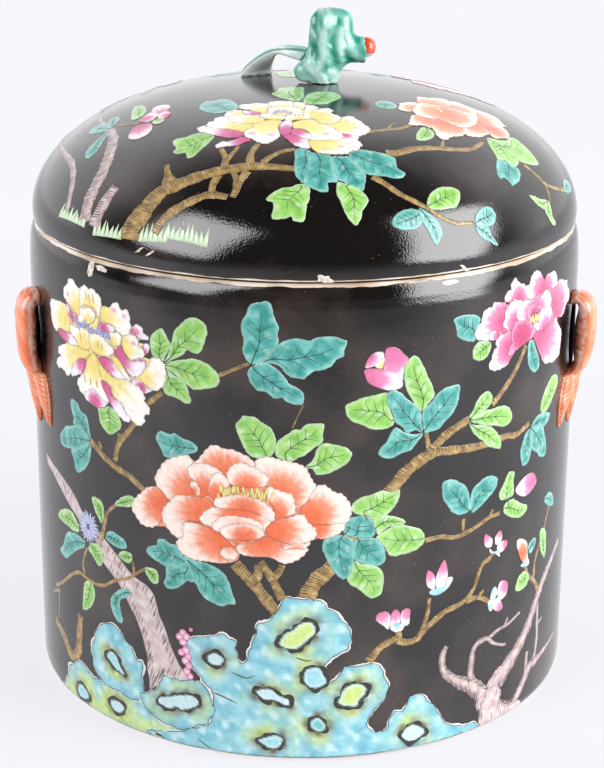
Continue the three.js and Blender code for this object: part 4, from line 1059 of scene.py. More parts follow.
def wall_boughs(paint, palette):
    """The trunk, the boughs and the dead wood on the wall."""
    ochre, grey = palette.ochre, palette.lavender
    trunk(paint, grey, 2, (
        -63.7, 22.7, -64.1, 27, -65.1, 32, -64.8, 36.3, -65.9, 40.6, -67.3, 45.6, -70.1, 52, -73, 56.3,
        -74.8, 59.1, -77, 62.4, -80, 65.5, -84, 68.5, -88, 71.5, -90, 74.9, -91.5, 78, -95, 80.5, -100, 82.5,
        -106, 86, -113, 89.9, -120, 94, -128, 97.7, -134, 99.5, -134, 103.5, -128, 102, -121, 100.5, -114, 98.4,
        -107, 94.9, -100, 88.4, -94, 86, -88, 82.7, -83.7, 79.9, -79.4, 77, -75.1, 73.4, -71, 70.5,
        -67.3, 69.1, -64, 67.8, -61.6, 65.6, -60, 62, -58.7, 57, -55.9, 51.3, -53.7, 44.9, -50.9, 39.1,
        -48.7, 35.6, -45.9, 32, -46.5, 30.5, -52, 30.4, -57, 30.5, -59, 27), (0.36, 0.93))
    for widths, *row in (
            ((1.6, 1.6, 1.2), -128, 46.3, -120.9, 50.6, -115.1, 54.9, -109.4, 59.1, -104.4, 61.3, -99.4, 60.6,
             -93.7, 60.2, -88, 61.3, -82.3, 64.9, -78, 67, -73.7, 68.8, -69.4, 72, -65.1, 75.2),
            ((1.5, 1.1), -100.5, 62, -101.6, 65.6, -100.5, 69.9, -98, 74.9),
            ((2.4, 1.8, 1.2), -89, 80.6, -87.3, 85.6, -85.1, 92.7, -82.3, 96.3, -78.7, 99.1),
            ((1.4, 1), -70.9, 71.3, -70.9, 74.9, -72.3, 78.4),
            ((1.3, 1), -124, 46, -126, 32), ((0.6, 0.5), -4, 141, 0, 150),
            ((1.6, 1.2), -124, 46, -132, 42)):
        bough(paint, ochre, 3, widths, row, style="plain")
    for widths, *row in (
            ((4, 5, 5, 4), -130, 30, -122, 27, -114, 20.5, -108, 24, -106.5, 32, -105, 42),
            ((2.6, 2.6), -94, 122, -88, 118.5, -80.5, 115, -72, 112.5, -64, 108),
            ((2, 1.6), -87, 120, -88.5, 123), ((2, 1.4), -76, 126, -77, 129),
            ((2.4, 2.8, 2), -79.5, 117, -77, 125, -72, 131, -68.5, 135.5),
            ((2.2, 2.4, 2), -68, 141, -61, 145.5, -55.5, 150), ((1.6, 1.3), -32, 160, -20.5, 165.5),
            ((4.6, 4.4), -26, 84.5, -22.5, 80.5, -18.5, 76.5, -15.5, 72.5, -12.5, 68.5, -10, 65),
            ((3.8, 3), -18.5, 77.5, -17, 80.5, -17, 84.5),
            ((3.4, 3), -7.5, 70.5, -9.5, 75, -11.5, 79, -14, 83, -16, 86),
            ((3, 2.6), -11, 79.5, -8.5, 82.5, -7.5, 85),
            ((4.2, 3), 50, 127.5, 56, 133, 62, 136, 67.5, 138),
            ((3.8, 2.2), 50, 127.5, 60, 126.8, 70, 126, 76, 126, 88, 126.5, 94, 125.5, 103, 128),
            ((2.4, 1.8), 50, 127, 48, 136),
            ((6.4, 6.2, 5.2, 4.8), 1.8, 71, 3.6, 75.6, 6.2, 79.5, 10.5, 83.2, 14, 88, 20, 98, 27, 106, 34, 114,
             40, 121, 46, 125, 51, 127.2),
            ((2.6, 2.2), 79, 141.5, 86, 147, 92, 153, 98, 161.5),
            ((3.4, 3, 2.8, 2.6), 26.5, 43, 29, 46, 32, 49, 36, 50.8, 39, 52, 38, 55.5),
            ((2.8, 2.6, 2, 1.8), 38, 50.6, 42.3, 49, 46.6, 49.8, 49.4, 52.7, 54.4, 56.3, 59.4, 59.1, 65.1, 60.2,
             69.4, 62, 73, 65.6, 75.1, 70.6, 77.3, 74.9, 80.9, 76.3, 83.7, 78.4),
            ((2.2, 1.6), 46.9, 49.1, 49.4, 54.9, 51.2, 60.6, 51.6, 66.3),
            ((2.4, 1.8), 69.4, 60.9, 73.7, 61.3, 78, 59.9, 81.6, 57.4), ((1.6, 1.2), 76, 61.5, 78.5, 63.5),
            ((2, 1.6), 48.7, 91.3, 56, 91.6, 63, 90, 70, 91.2, 76, 93, 79.5, 94.2, 86, 94.6),
            ((1.6, 1.2), 80, 94.5, 82, 97.2), ((1.6, 1.4), 66.5, 97, 66.5, 92),
            ((2.6, 1.8), 117, 50, 113, 56, 108, 60, 105, 65),
            ((1.8, 1.6), 112.5, 58, 112.8, 64, 115, 69, 118, 73, 121, 78, 124, 84, 128, 88)):
        bough(paint, ochre, 4, widths, row)
    for widths, *row in (
            ((4, 2.6, 2.2), 74.5, 23, 73, 28, 73.5, 34, 74, 38, 76.5, 40.5, 81, 41.2, 84, 39.8),
            ((1.8, 1.2), 83, 41, 88, 42.8, 95, 43.5, 102.5, 45.8), ((1.4, 1), 92, 43, 94, 46.5),
            ((1.8, 1.2), 83, 40, 86, 37.5, 91, 35.2, 93.5, 34.6),
            ((8, 5, 4, 4.5, 5, 3.5, 2.6, 2, 1.6), 88, 7, 93, 6, 98.7, 4.5, 104, 8, 109, 13, 112, 16.5, 118, 17.5,
             127, 18.5, 142, 20),
            ((3.2, 2.2), 110, 15, 109.5, 20, 110, 25),
            ((2.6, 2.2), 113, 17, 117, 20.5, 118.5, 28, 118, 36, 117.5, 45), ((1.6, 1.2), 118, 34, 123, 35.5),
            ((10, 8, 7, 6.5, 5, 4, 3.4, 3, 2.4), 82, 12, 79, 17.5, 74, 22, 68, 25.5, 63, 29, 59.5, 33, 58.5, 37,
             59, 41, 60.5, 43.5),
            ((11, 9, 7, 6, 5.5, 5, 4.5, 4, 3.5), 86, 12, 87, 18, 93, 22.5, 99, 27, 106, 33, 111, 38.5, 115, 44.5,
             119, 49.5, 124, 54, 132, 59, 142, 64)):
        bough(paint, grey, 3, widths, row, style="bark")
    trunk(paint, grey, 5, (78.5, 9, 80, 2.2, 93, 2.2, 106, 2.2, 104, 5, 98, 4.8, 92, 8, 90, 16, 84, 18, 79, 15),
          (0.1, 1))


def wall_rocks(paint, palette):
    """The pierced rockwork round the foot of the wall."""
    aqua, lime, teal = palette.aqua[1], palette.lime, palette.teal[1]
    pale = mixed(palette.aqua[1], CHALK, 0.35)

    def oval(x, y, wide, tall):
        turn = np.linspace(0, 2 * math.pi, 13)[:-1]
        return ellipse(x, y, wide, tall, 12, 1 + 0.08 * np.sin(3 * turn + x)[:, None]).ravel()

    rock(paint, palette, (
        -122.5, 2.2, -121.6, 2.7, -119.4, 7, -117.3, 11.3, -116.2, 14.1, -113, 16.3, -110.1, 18.4, -107.3, 19.9,
        -103.7, 20.2, -101.6, 19.1, -99.4, 17.4, -96.6, 16.6, -93, 17.4, -89.4, 17, -84.4, 17, -79.4, 15.9,
        -73.7, 15.2, -69.4, 15.2, -67.3, 13.8, -62.3, 10.9, -56.6, 9.1, -52.3, 8.4, -47.3, 8.8, -45.1, 7.7,
        -42.3, 5.9, -38, 3.4, -38, 2.2), ((aqua, oval(-105.1, 6.6, 4.4, 2.9)), (pale, oval(-81.9, 9.1, 4, 2.6))),
        0, lime=0.9, low=0.85)
    rock(paint, palette, (
        -96.6, 27, -97.3, 30.6, -95.1, 34.1, -94.4, 37.7, -92.3, 40.6, -89.4, 43.4, -85.9, 44.9, -82.3, 45.1,
        -79.4, 44.1, -76.6, 40.6, -73, 37.7, -70.1, 33.4, -67.6, 34.1, -67.3, 32, -68, 27, -67.3, 22.7,
        -67.6, 19.9, -68.7, 17, -73.7, 15.6, -79.4, 16.3, -85.1, 17, -89.4, 17, -93, 19.9, -95.9, 22.7),
        ((aqua, (-86.9, 31.3, -84.8, 33.1, -81.6, 32, -80.1, 29.1, -76.9, 24.9, -78.7, 25.2, -82.3, 26.3,
                 -85.1, 28.4, -87.3, 29.9)),), 1)
    rock(paint, palette, (
        -68.7, 19.1, -66.6, 19.9, -63, 22, -60.9, 23.4, -58, 28.4, -56.6, 30.6, -53, 30.4, -48.7, 30.2,
        -44.4, 31.3, -42, 30.8, -39.1, 29.9, -37, 26.3, -36.3, 23.4, -34.5, 19.9, -36.3, 16.3, -39.1, 12.7,
        -42.3, 11.8, -45.9, 9.9, -49.4, 8.4, -53.7, 9.1, -59.4, 10.2, -63.7, 12.7, -67.3, 14.9),
        ((pale, (-60.1, 18.4, -58.7, 20.6, -54.4, 22, -50.9, 23.4, -45.9, 24.5, -42.3, 23.8, -41.6, 21.3,
                 -44.4, 19.1, -48.7, 17.4, -51.6, 18.1, -54.4, 16.6, -58.7, 17.4)),), 2)
    rock(paint, palette, (
        -57, 2.2, -53, 6.4, -49, 7.4, -44, 10, -38, 12.6, -35.5, 16, -35, 26, -38, 31, -42, 35.6, -45, 40, -46, 47,
        -45.9, 49.1, -44, 50, -41.3, 50.9, -36.3, 52, -33.4, 53.1, -31.3, 53.8, -28.4, 52, -26.3, 51.3, -25.9, 47.7,
        -24.9, 44.1, -23.4, 42, -21.3, 44.1, -20.6, 47, -19.1, 51.3, -17.4, 55.6, -17, 59.1, -14.1, 60.6, -12, 62,
        -9.1, 66.3, -7.7, 69.1, -5.6, 71.3, -0.6, 70.6, 3.7, 71.3, 7.3, 69.9, 10.1, 67, 13, 64.9, 15.1, 62,
        17.3, 59.9, 18.7, 57, 19.1, 53.4, 17.6, 49.1, 13.7, 47, 10.1, 44.1, 8, 41.3, 8.4, 38.4, 10.1, 35.6,
        11.9, 34.9, 14.4, 37, 15.9, 39.9, 17.3, 41.6, 22.3, 41.3, 26.6, 41.6, 30.1, 41.3, 32.3, 38.4, 33.4, 34.9,
        34.8, 31.3, 33.7, 27, 30.9, 23.4, 28, 20.6, 26.6, 17, 26.6, 14.1, 29.4, 12, 33, 11.6, 35.1, 13.4,
        35.9, 16.3, 38, 19.1, 40.9, 19.1, 43, 21.3, 44.4, 24.9, 47.3, 25.2, 50.1, 24.1, 53.7, 19.9, 56.6, 16.3,
        59.4, 11.3, 62.3, 8.4, 66.6, 6.3, 71.6, 5.2, 75.9, 4.9, 77.3, 2.7, 77.3, 2.2),
        ((lime, (-8.4, 52.7, -6.3, 56.3, -3.4, 57.7, -0.6, 60.6, 3.7, 61.3, 5.5, 58.4, 4.8, 55.6, 2.3, 53.4,
                 -0.6, 50.6, -3.1, 49.5, -6.3, 49.9, -8.4, 51.3)),
         (pale, (-37.7, 42.7, -36.3, 44.5, -33.4, 44.9, -30.9, 43.1, -32, 40.2, -34.9, 39.9, -37, 40.9)),
         (pale, (-17.7, 30.6, -14.1, 32, -11.3, 31.6, -8.4, 29.1, -4.9, 27.7, -4.5, 25.2, -6.3, 25.2, -9.1, 26.6,
                 -11.3, 27.4, -14.1, 27, -17.4, 29.5)),
         (lime, (15.1, 27.7, 16.6, 31.3, 19.4, 33.4, 23.7, 33.4, 25.9, 31.3, 25.1, 28.4, 23, 26.3, 22.3, 24.1,
                 18.7, 24.1, 15.9, 24.9, 14.4, 26.3)),
         (teal, (3.7, 17.7, 6.6, 19.9, 9.4, 17, 9.8, 14.9, 7.3, 13.4, 4.4, 15.2)),
         (aqua, (-17, 9.1, -13.4, 10.6, -10.6, 11.6, -7.4, 10.9, -7.4, 8.4, -9.1, 6.3, -12, 5.6, -14.9, 7.4)),
         (pale, (41.2, 8.4, 43, 11.3, 46.6, 12, 50.1, 9.9, 51.6, 7.7, 48.7, 5.6, 45.1, 4.9, 42.3, 6.3)),
         (aqua, (1.6, 39.9, 3, 41.3, 7.3, 41.3, 8.7, 38.4, 10.1, 35.6, 8, 33.4, 5.1, 32.7, 2.3, 34.1, 0.9, 37))),
        1.5)
    strokes(paint, HALO, 5, 0.6, (-36, 28, -31, 26.6, -25.5, 24.4), (-42, 5.9, -39, 4, -36.3, 2.6),
            (-28, 38, -22, 36, -18, 37.4), (-2, 46, 2, 44.6, 4, 45))


def dome_peonies(paint, palette, tones):
    """The two flowers and the small one on the cover."""
    yellow, accent, blue = palette.yellow, palette.magenta, palette.blue
    petals(paint, 5, (
        (yellow, -3, -46, -4.7, -37.5, -3.8, -36.9, -1.9, -37.2, -0.3, -38.4, 0, -41.3, -0.3, -45, -0.9, -48.1,
         -2.5, -45.6, -3.8, -43.8, -4.9, -42.5),
        (yellow, -17, -50, -25.9, -39.4, -25, -37.5, -22.5, -37.8, -20.6, -37.2, -18.8, -36.9, -16.9, -37.8,
         -15, -38.4, -14.4, -41.3, -14.7, -45.6, -15.3, -48.8, -16.3, -50, -20, -46.9, -22.5, -44.4,
         -24.4, -43.1, -25.6, -41.3),
        (yellow, -9, -45, -14.4, -36.9, -12.5, -35.6, -10, -35.3, -7.5, -35.6, -5.3, -35.9, -4.7, -38.8,
         -4.9, -41.9, -5, -43.8, -10, -43.1, -13.1, -41.9, -14.3, -39.4),
        (yellow, -24, -50, -31.3, -48.8, -30.9, -46.3, -30, -44.7, -28.1, -44.1, -26.3, -44.4, -25, -45,
         -24.1, -46.9, -23.1, -49.4, -22.5, -50, -29.4, -50, -31.3, -49.7),
        (yellow, 3, -56, 0, -41.9, 0.6, -40.6, 2.5, -40.9, 4.4, -42.5, 5, -44.4, 6.3, -45, 8.1, -44.1, 9.7, -45,
         10.6, -46.9, 10, -49.4, 12.5, -51.9, 13.8, -53.8, 13.1, -56.3, 11.9, -58.8, 9.4, -60.3, 5.6, -59.7,
         4.4, -58.1, 3.8, -56.3, 2.5, -55.6, 0, -52.5, -0.6, -48.8, 0, -45.6),
        (yellow, -9, -51, -13.8, -43.8, -12.5, -42.8, -8.8, -43.1, -5.3, -43.1, -3.8, -43.8, -1.9, -46.3,
         -0.9, -48.8, -1.6, -50, -3.8, -50.6, -6.3, -52.5, -8.1, -53.1, -10, -53.1, -12.5, -51.9, -13.8, -50,
         -14.3, -46.9),
        (accent, -18, -49.5, -24.4, -45, -23.4, -45.6, -21.9, -46.6, -20, -46.6, -18.8, -47.5, -17.2, -48.8,
         -16.3, -50, -17.5, -50.6, -20, -50.6, -21.9, -50.3, -23.1, -48.8, -24.1, -46.9),
        (yellow, -22, -62, -37.8, -54.4, -37.2, -53.4, -35.3, -53.1, -35, -50.6, -33.1, -49.7, -31.3, -50,
         -29.7, -50, -29.4, -52.5, -28.4, -55, -26.9, -56.3, -23.1, -58.1, -20, -59.4, -20, -61.9, -21.9, -63.8,
         -22.5, -65.6, -25, -65, -26.3, -63.8, -28.8, -62.5, -30.6, -61.3, -34.4, -60, -36.9, -58.1,
         -38.1, -56.3),
        (yellow, -16, -57, -29.7, -50, -27.5, -50, -24.4, -50, -20.6, -50.9, -18.1, -50.6, -16.9, -52.5,
         -15.6, -55, -15.3, -56.3, -16.3, -57.5, -18.8, -59.4, -21.9, -58.8, -25, -57.5, -27.5, -56.3,
         -28.8, -54.4, -29.7, -52.5)), white=0.5, bed=True)
    blots(paint, blue[0], 12, (5, -45.8, 0.9, 0.7))
    blots(paint, accent[1], 12, (-17.6, -53, 1.1, 1.8))
    blots(paint, RUST, 12, (-28.5, -45.8, 0.9, 0.6))
    stamens(paint, (-9, -49), (3.4, 2.2), blue[1], blue[0], 12, 7)
    petals(paint, 12, (
        (yellow, -13, -57, -17.5, -50.6, -15, -50, -13.1, -50.6, -11.3, -52.5, -10, -53.1, -8.1, -53.1,
         -8.3, -55.6, -8.8, -56.9, -11.3, -56.6, -13.8, -56.3, -15.3, -55.6, -16.3, -53.8, -17.2, -51.9),
        (yellow, -3, -58, -8.1, -56.3, -7.5, -53.8, -6.3, -52.5, -3.8, -50.9, -0.6, -50, 1.3, -51.9, 1.9, -54.4,
         1.9, -55.6, -0.6, -56.9, -3.8, -57.2, -5.3, -58.1, -6.9, -57.5),
        (accent, -24, -66.5, -41.6, -58.8, -41.3, -56.9, -39.4, -56.3, -38.1, -57.5, -35.6, -59.4, -31.3, -61.3,
         -28.8, -62.5, -26.3, -63.8, -23.8, -65.6, -23.1, -67.5, -25, -69.1, -26.9, -69.4, -29.4, -68.8,
         -31.9, -67.5, -34.4, -65.6, -36.9, -63.8, -38.8, -61.9, -40.6, -60.6),
        (accent, -21, -71.5, -34.1, -74.4, -33.8, -72.5, -31.9, -71.3, -29.4, -71.6, -26.9, -70.6, -25, -69.4,
         -23.1, -69.4, -21.3, -70.6, -20.9, -72.5, -21.9, -73.1, -23.8, -73.8, -25.6, -75, -28.1, -74.7,
         -31.3, -74.4, -33.1, -75),
        (yellow, -14, -57, -20, -60, -17.5, -58.1, -15, -56.9, -11.9, -56.6, -9.4, -57.5, -8.8, -58.8,
         -9.7, -61.3, -10.3, -63.8, -10, -67.5, -9.7, -70, -10.6, -71.9, -12.5, -73.8, -14.4, -75.3,
         -16.3, -75, -18.8, -73.1, -20, -71.3, -21.9, -70, -23.1, -68.1, -23.1, -65.6, -21.9, -63.8,
         -20.3, -61.9),
        (yellow, 13, -61, 5.6, -60, 8.8, -60.6, 11.3, -59.4, 13.1, -56.9, 13.8, -55, 15, -53.1, 16.3, -52.2,
         18.1, -52.2, 19.4, -54.4, 21.3, -56.3, 22.5, -58.8, 24.1, -60.6, 24.7, -62.5, 24.1, -65, 21.9, -67.5,
         19.4, -68.8, 15.6, -68.1, 13.8, -68.1, 11.9, -65, 10, -63.1, 8.1, -61.9),
        (accent, 15, -68.5, 13.8, -68.1, 16.3, -67.8, 19.4, -68.8, 20.6, -68.8, 19.4, -71.3, 16.9, -71.3,
         14.4, -71.3),
        (yellow, -2, -60, -5, -60, -3.1, -58.1, 0, -56.9, 2.5, -56.3, 3.8, -56.9, 4.7, -58.8, 6.3, -60.6,
         8.8, -61.9, 10.6, -63.8, 12.5, -66.3, 14.1, -68.8, 14.1, -71.3, 12.5, -73.1, 10, -73.1, 6.3, -73.8,
         2.5, -73.8, 0, -72.5, 1.9, -70, 0.6, -66.9, -1.9, -65, -3.8, -65, -4.9, -63.8),
        (accent, -3, -67, -5, -65.6, -3.4, -64.7, -1.3, -65.3, 0.6, -67.5, 1.9, -70, 2.5, -72.5, 0, -72.8,
         -1.9, -71.3, -4.4, -70, -5.3, -68.8),
        (accent, -6, -71, -8.4, -70, -6.3, -69.4, -3.8, -70, -1.3, -71.9, 0.9, -73.8, 1.6, -75.6, 1.6, -78.8,
         0, -79.4, -2.5, -78.1, -5, -76.3, -6.6, -73.8, -8.1, -71.9),
        (accent, -7, -67, -8.8, -60, -7.5, -58.1, -6.3, -57.5, -5.3, -58.8, -5.1, -62.5, -5.3, -65.6, -5.3, -68.1,
         -6.9, -70, -8.8, -70, -9.7, -68.1, -10, -63.8, -9.4, -61.3),
        (yellow, 4, -73, 1.3, -74.4, 3.1, -73.8, 6.9, -73.8, 10, -73.1, 12.5, -73.1, 14.4, -71.6, 17.5, -71.3,
         19.4, -71.3, 20.6, -73.1, 21.6, -75, 20.6, -76.9, 20, -78.8, 17.5, -79.4, 16.3, -81.3, 13.8, -82,
         9.4, -82.5, 5, -82, 2.5, -79.4, 1.6, -76.9)), white=0.5)
    blots(paint, accent[1], 21.6, (-20.4, -67.4, 1.5, 1.1), (-13, -69.4, 1.4, 1), (8, -69, 1.3, 1),
          (16.3, -57.4, 1, 0.8), (19.6, -62.4, 1.1, 0.9), (7.5, -79.4, 1.2, 0.9), (13.8, -77.4, 1.2, 0.9))
    strokes(paint, RUST, 21.6, 0.5, (-4, -53.4, -3.6, -51.8), (-1, -53, -0.6, -51.4), (-2.4, -53.4, -2.1, -51.6))
    petals(paint, 8, (
        (tones, 52, -28, 44.4, -23.1, 45, -20, 45, -16.9, 46.9, -15.6, 50, -15, 51.9, -13.1, 54.4, -11.9,
         56.3, -11.3, 58.1, -13.1, 59.1, -15.6, 59.4, -18.8, 58.1, -22.5, 55, -23.8, 51.3, -25, 47.5, -25.6,
         45, -25.6),
        (tones, 60, -27, 58.8, -15, 59.4, -12.5, 61.9, -11.6, 64.4, -12.8, 66.9, -13.8, 69.4, -14.4, 70.3, -16.3,
         70, -19.4, 68.8, -22.5, 65.6, -24.4, 62.5, -25, 60, -23.8, 59.1, -19.4),
        (tones, 66, -29, 70, -15.6, 71.9, -14.7, 75, -14.4, 78.1, -15, 79.7, -16.9, 80.6, -20, 81.9, -22.5,
         80.6, -24.4, 78.1, -26.9, 75, -30, 71.9, -32.5, 70, -33.1, 68.8, -30, 69.4, -23.8, 70, -20),
        (tones, 45, -35, 37.2, -38.8, 36.9, -36.3, 37.5, -32.5, 37.2, -30.6, 38.8, -29.4, 40.6, -27.5,
         42.5, -26.6, 44.4, -26.3, 45, -28.8, 44.4, -32.5, 43.1, -36.3, 41.3, -38.8, 38.8, -39.4),
        (tones, 76, -34, 79.4, -25.6, 81.3, -26.3, 82.5, -28.8, 83.1, -31.9, 82.2, -35.6, 80.6, -37.5,
         78.8, -39.4, 76.3, -41.9, 74.4, -40.6, 73.8, -37.5, 73.1, -35, 71.3, -33.1, 75, -30, 77.5, -27.5),
        (tones, 66, -36, 62.5, -42.5, 65, -40.6, 67.5, -37.5, 70, -35, 71.9, -35.6, 73.8, -38.1, 73.1, -41.3,
         71.3, -43.8, 70, -46.3, 67.5, -48.1, 65, -49.4, 63.1, -48.8, 62.5, -46.3),
        (tones, 56, -33, 45, -26.3, 48.1, -25, 51.9, -24.4, 56.3, -23.8, 60, -23.8, 63.8, -24.4, 68.1, -23.1,
         69.4, -26.3, 68.8, -31.3, 68.1, -35, 65.6, -40, 63.1, -42.5, 60, -43.8, 56.3, -42.5, 51.9, -41.3,
         48.8, -42.5, 45, -42.5, 43.1, -40, 42.5, -36.3, 43.8, -31.3),
        (tones, 50, -43, 40.9, -50, 41.3, -46.3, 41.9, -43.1, 43.8, -41.9, 46.9, -42.5, 49.4, -45, 50, -48.8,
         49.4, -51.9, 45.6, -51.3, 43.1, -52.5, 40.6, -53.1, 40.3, -51.9),
        (tones, 55, -42, 49.1, -48.8, 50, -45, 51.9, -42.5, 55, -41.9, 57.5, -43.1, 60, -43.8, 62.5, -45,
         63.1, -48.8, 61.3, -51.9, 58.8, -53.8, 56.9, -55.6, 55, -58.8, 52.5, -58.8, 51.3, -56.9, 50.6, -53.8,
         49.4, -51.9)), white=0.62, bed=True)
    stamens(paint, (51, -29), (3.4, 3.6), STAMEN, tones[0], 14, 9)
    petals(paint, 8, (
        (accent, -58, -36, -60.8, -23.8, -57.7, -23.1, -54.6, -25.4, -54.2, -30, -55.4, -33.1, -58.5, -34.6,
         -61.5, -30),
        (accent, -64, -36, -66.5, -36.2, -63.8, -31.5, -61.5, -30, -58.5, -34, -60, -38.5, -63, -40),
        (accent, -54, -38, -58.5, -34.6, -55.4, -33.1, -53.1, -36.2, -54.6, -40, -57.7, -41),
        (accent, -66, -41, -70, -46, -68.5, -41.5, -65, -40.8, -61.5, -42.3, -60.4, -46, -60.8, -50, -63.1, -52.7,
         -67, -53, -70, -50),
        (palette.green, -58, -41, -60, -40, -57, -40.4, -55.6, -43, -58, -45, -60.4, -43)), frill=0.15)


def dome_leaves(paint, palette):
    """The leaves on the cover; each row is base, tip and outline."""
    leaves(paint, palette.green, (
        (-36, -65, -51, -66, -51.5, -63.8, -50, -62.3, -45.4, -62.3, -43.1, -61.2, -39.2, -61.2, -36.2, -63.8,
         -35, -66.2, -36.9, -70, -40.8, -74.6, -43.1, -77.3, -45.4, -77.3, -46.2, -73.8, -49.2, -73.1,
         -51.2, -71.5, -50, -69.2, -50.8, -66.9),
        (-3.5, -35, -9, -11, -13.5, -23.1, -11.5, -18.5, -10.8, -13.8, -4.6, -11.5, -0.8, -12.3, -0.8, -21.5,
         -0.8, -30, -3.8, -35.4, -7.7, -32.3, -11.5, -27.7),
        (3, -39, 9, -20.5, 0, -38.5, -0.8, -33, 0.8, -25.4, 3.1, -21.5, 6.2, -20, 10, -20.5, 13.3, -24.2,
         13.8, -29.2, 10.8, -34.2, 8.3, -38.3, 4.2, -39.2),
        (17.5, -97.5, 20.3, -115, 12.5, -97.5, 12.1, -102.5, 13.3, -105, 15, -109.2, 17.1, -112.5, 20, -115,
         22.1, -112.5, 22.5, -109.2, 24.2, -105.8, 24.6, -103.3, 22.5, -100.8, 20, -99.2, 15.8, -97.9),
        (-1.5, -99.5, -8, -112, -15, -105.4, -13.1, -103.1, -9.2, -100.8, -4.6, -100, -2.3, -98.8, 1.5, -100,
         1.9, -104.6, 0.8, -109.2, -0.4, -115, -4.6, -114.6, -5, -113.1, -8.5, -113.8, -12.7, -113.5,
         -12.3, -109.2, -12.3, -106.9),
        (48.5, -100.3, 61, -88, 48.3, -100, 48.3, -96.7, 50, -92.5, 53.3, -89.2, 57.5, -87.5, 60.8, -87.5,
         61.7, -90.8, 60.8, -95, 57.5, -97.5, 53.3, -100, 50, -100.8),
        (47, -52.5, 43.5, -64.5, 45.4, -53.3, 47.5, -52.5, 49.6, -54.2, 50.4, -56.7, 49.2, -60.8, 46.7, -63.3,
         43.3, -64.6, 42.9, -61.7, 43.8, -57.5),
        (75, -47, 96, -42, 83.3, -33.3, 86.7, -31.7, 90.8, -34.2, 94.2, -36.7, 97.1, -40.8, 95.8, -44.2,
         92.5, -47.5, 88.3, -50, 86.7, -50, 82.5, -45, 81.7, -39.2),
        (73, -46, 80, -58, 73.3, -44.2, 78.3, -41.7, 81.7, -39.2, 83.3, -45, 86.7, -50, 86.7, -53.3, 85, -56.7,
         80, -56.7, 76.7, -58.3, 76.3, -56.7, 74.2, -52.5, 72.5, -47.5),
        (103.5, -60, 94, -67, 93.3, -67.5, 95.8, -65.4, 99.2, -63.8, 102.5, -60.8, 104.2, -59.6, 103.3, -65.8,
         100.8, -67.1, 98.3, -67.9),
        (103.5, -60, 112, -64, 104.2, -59.6, 106.7, -60.8, 109.2, -63.3, 112.9, -62.9, 112.5, -65.4,
         109.2, -66.7, 105.8, -66.7, 103.3, -65.8),
        (-66, -31, -69, -15, -70, -31, -70, -15, -66.5, -15.5, -64.5, -22, -64.2, -28, -66, -31.5)))
    leaves(paint, palette.teal, (
        (-29, -44, -38, -28, -41.9, -36.2, -41.2, -31.5, -39.2, -27.7, -36.9, -29.2, -33.1, -27.7, -30, -30,
         -27.7, -34.6, -26.2, -39.2, -26.9, -42.3, -30.8, -44.6, -33.8, -45.4, -36.9, -43.8, -40, -40.8),
        (12, -83, 22, -99.8, 10, -83.8, 15, -83, 16.7, -83.3, 20, -88, 23.3, -92, 23.3, -95, 22.5, -100,
         20, -99.6, 16.7, -98, 14.2, -96.7, 12.5, -96, 11, -90),
        (2, -80, -1, -98.3, -3.8, -80, 0, -79.2, 2.5, -81.7, 5, -85, 4, -90, 1, -95, -0.5, -98.5, -2.3, -96.9,
         -3.8, -93.8, -4.2, -90, -3.8, -85.4),
        (4, -81, 7.5, -102.5, 2.5, -81.7, 6.7, -82.5, 10, -83.8, 11, -90, 12.5, -97, 11, -97.5, 8.8, -98,
         9.2, -100.8, 8.3, -102.5, 5.8, -102.5, 3, -101, 0, -99.5, -0.5, -96, 1, -90, 1, -85),
        (16.5, -80.5, 38.5, -88, 16.7, -83, 17.1, -79.6, 20, -77.9, 25, -77.9, 30, -78.3, 34.2, -80, 35, -83.3,
         35.8, -85.8, 38.8, -87.5, 37.5, -90, 35, -91.3, 31.7, -91.3, 28.3, -91.7, 24.2, -91.7, 22.5, -90.8,
         19, -87.5),
        (45, -102, 35, -112, 43.3, -103.3, 40, -104.2, 36.7, -106.7, 35, -109.2, 35, -112.1, 38.3, -112.9,
         42.5, -112.1, 45.8, -110, 47.5, -106.7, 46.7, -103.3),
        (45, -102, 55.5, -113.5, 45, -102.1, 48.3, -102.5, 52.5, -104.2, 55.8, -106.7, 56.7, -110, 55, -113.8,
         52.5, -112.5, 50, -110, 47.5, -107.5, 45.4, -104.2),
        (70, -98, 78, -88, 69.6, -97.5, 70, -93.3, 72.5, -89.2, 75.8, -87.5, 78.8, -89.2, 78.8, -93.3,
         76.7, -95.8, 73.3, -97.5, 70.8, -98.3),
        (70.5, -99, 84, -99.5, 70.8, -97.9, 75, -95.8, 78.3, -96.7, 80, -98.3, 84.2, -99.2, 82.5, -100.4,
         79.2, -100.8, 76.7, -101.7, 73.3, -101.3, 70.8, -100),
        (80, -56.5, 82, -69, 76.7, -59.2, 78.3, -57.5, 81.3, -56.7, 83.3, -56.7, 86.7, -56.7, 87.9, -60,
         87.5, -64.2, 85.8, -67.5, 84.2, -69.6, 82.5, -68.3, 80.4, -67.9, 78.8, -70, 77.1, -68.3, 76.3, -63.3),
        (31, -39, 32, -30, 27.5, -33.3, 30.8, -29.2, 35, -30.8, 35.8, -36.7, 31.7, -39.2, 28.3, -38.3),
        (-79, -32, -88, -22, -79, -32, -80, -26, -84, -21.4, -88.4, -20.6, -89.4, -25, -86, -29.4, -82, -32),
        (-79, -30, -78, -20, -79.4, -30.4, -81, -25, -79.6, -19.6, -76.4, -20.6, -75.6, -26, -77.6, -30),
        (-81, -36, -88, -49, -80, -35.4, -84.4, -37.2, -88.6, -41.4, -90, -46, -88.4, -50, -84.2, -48, -81.4, -42),
        (114, -38, 118, -26, 113.4, -38, 113, -31, 116.4, -25.4, 119.6, -26, 118.8, -32, 116, -37.4)))


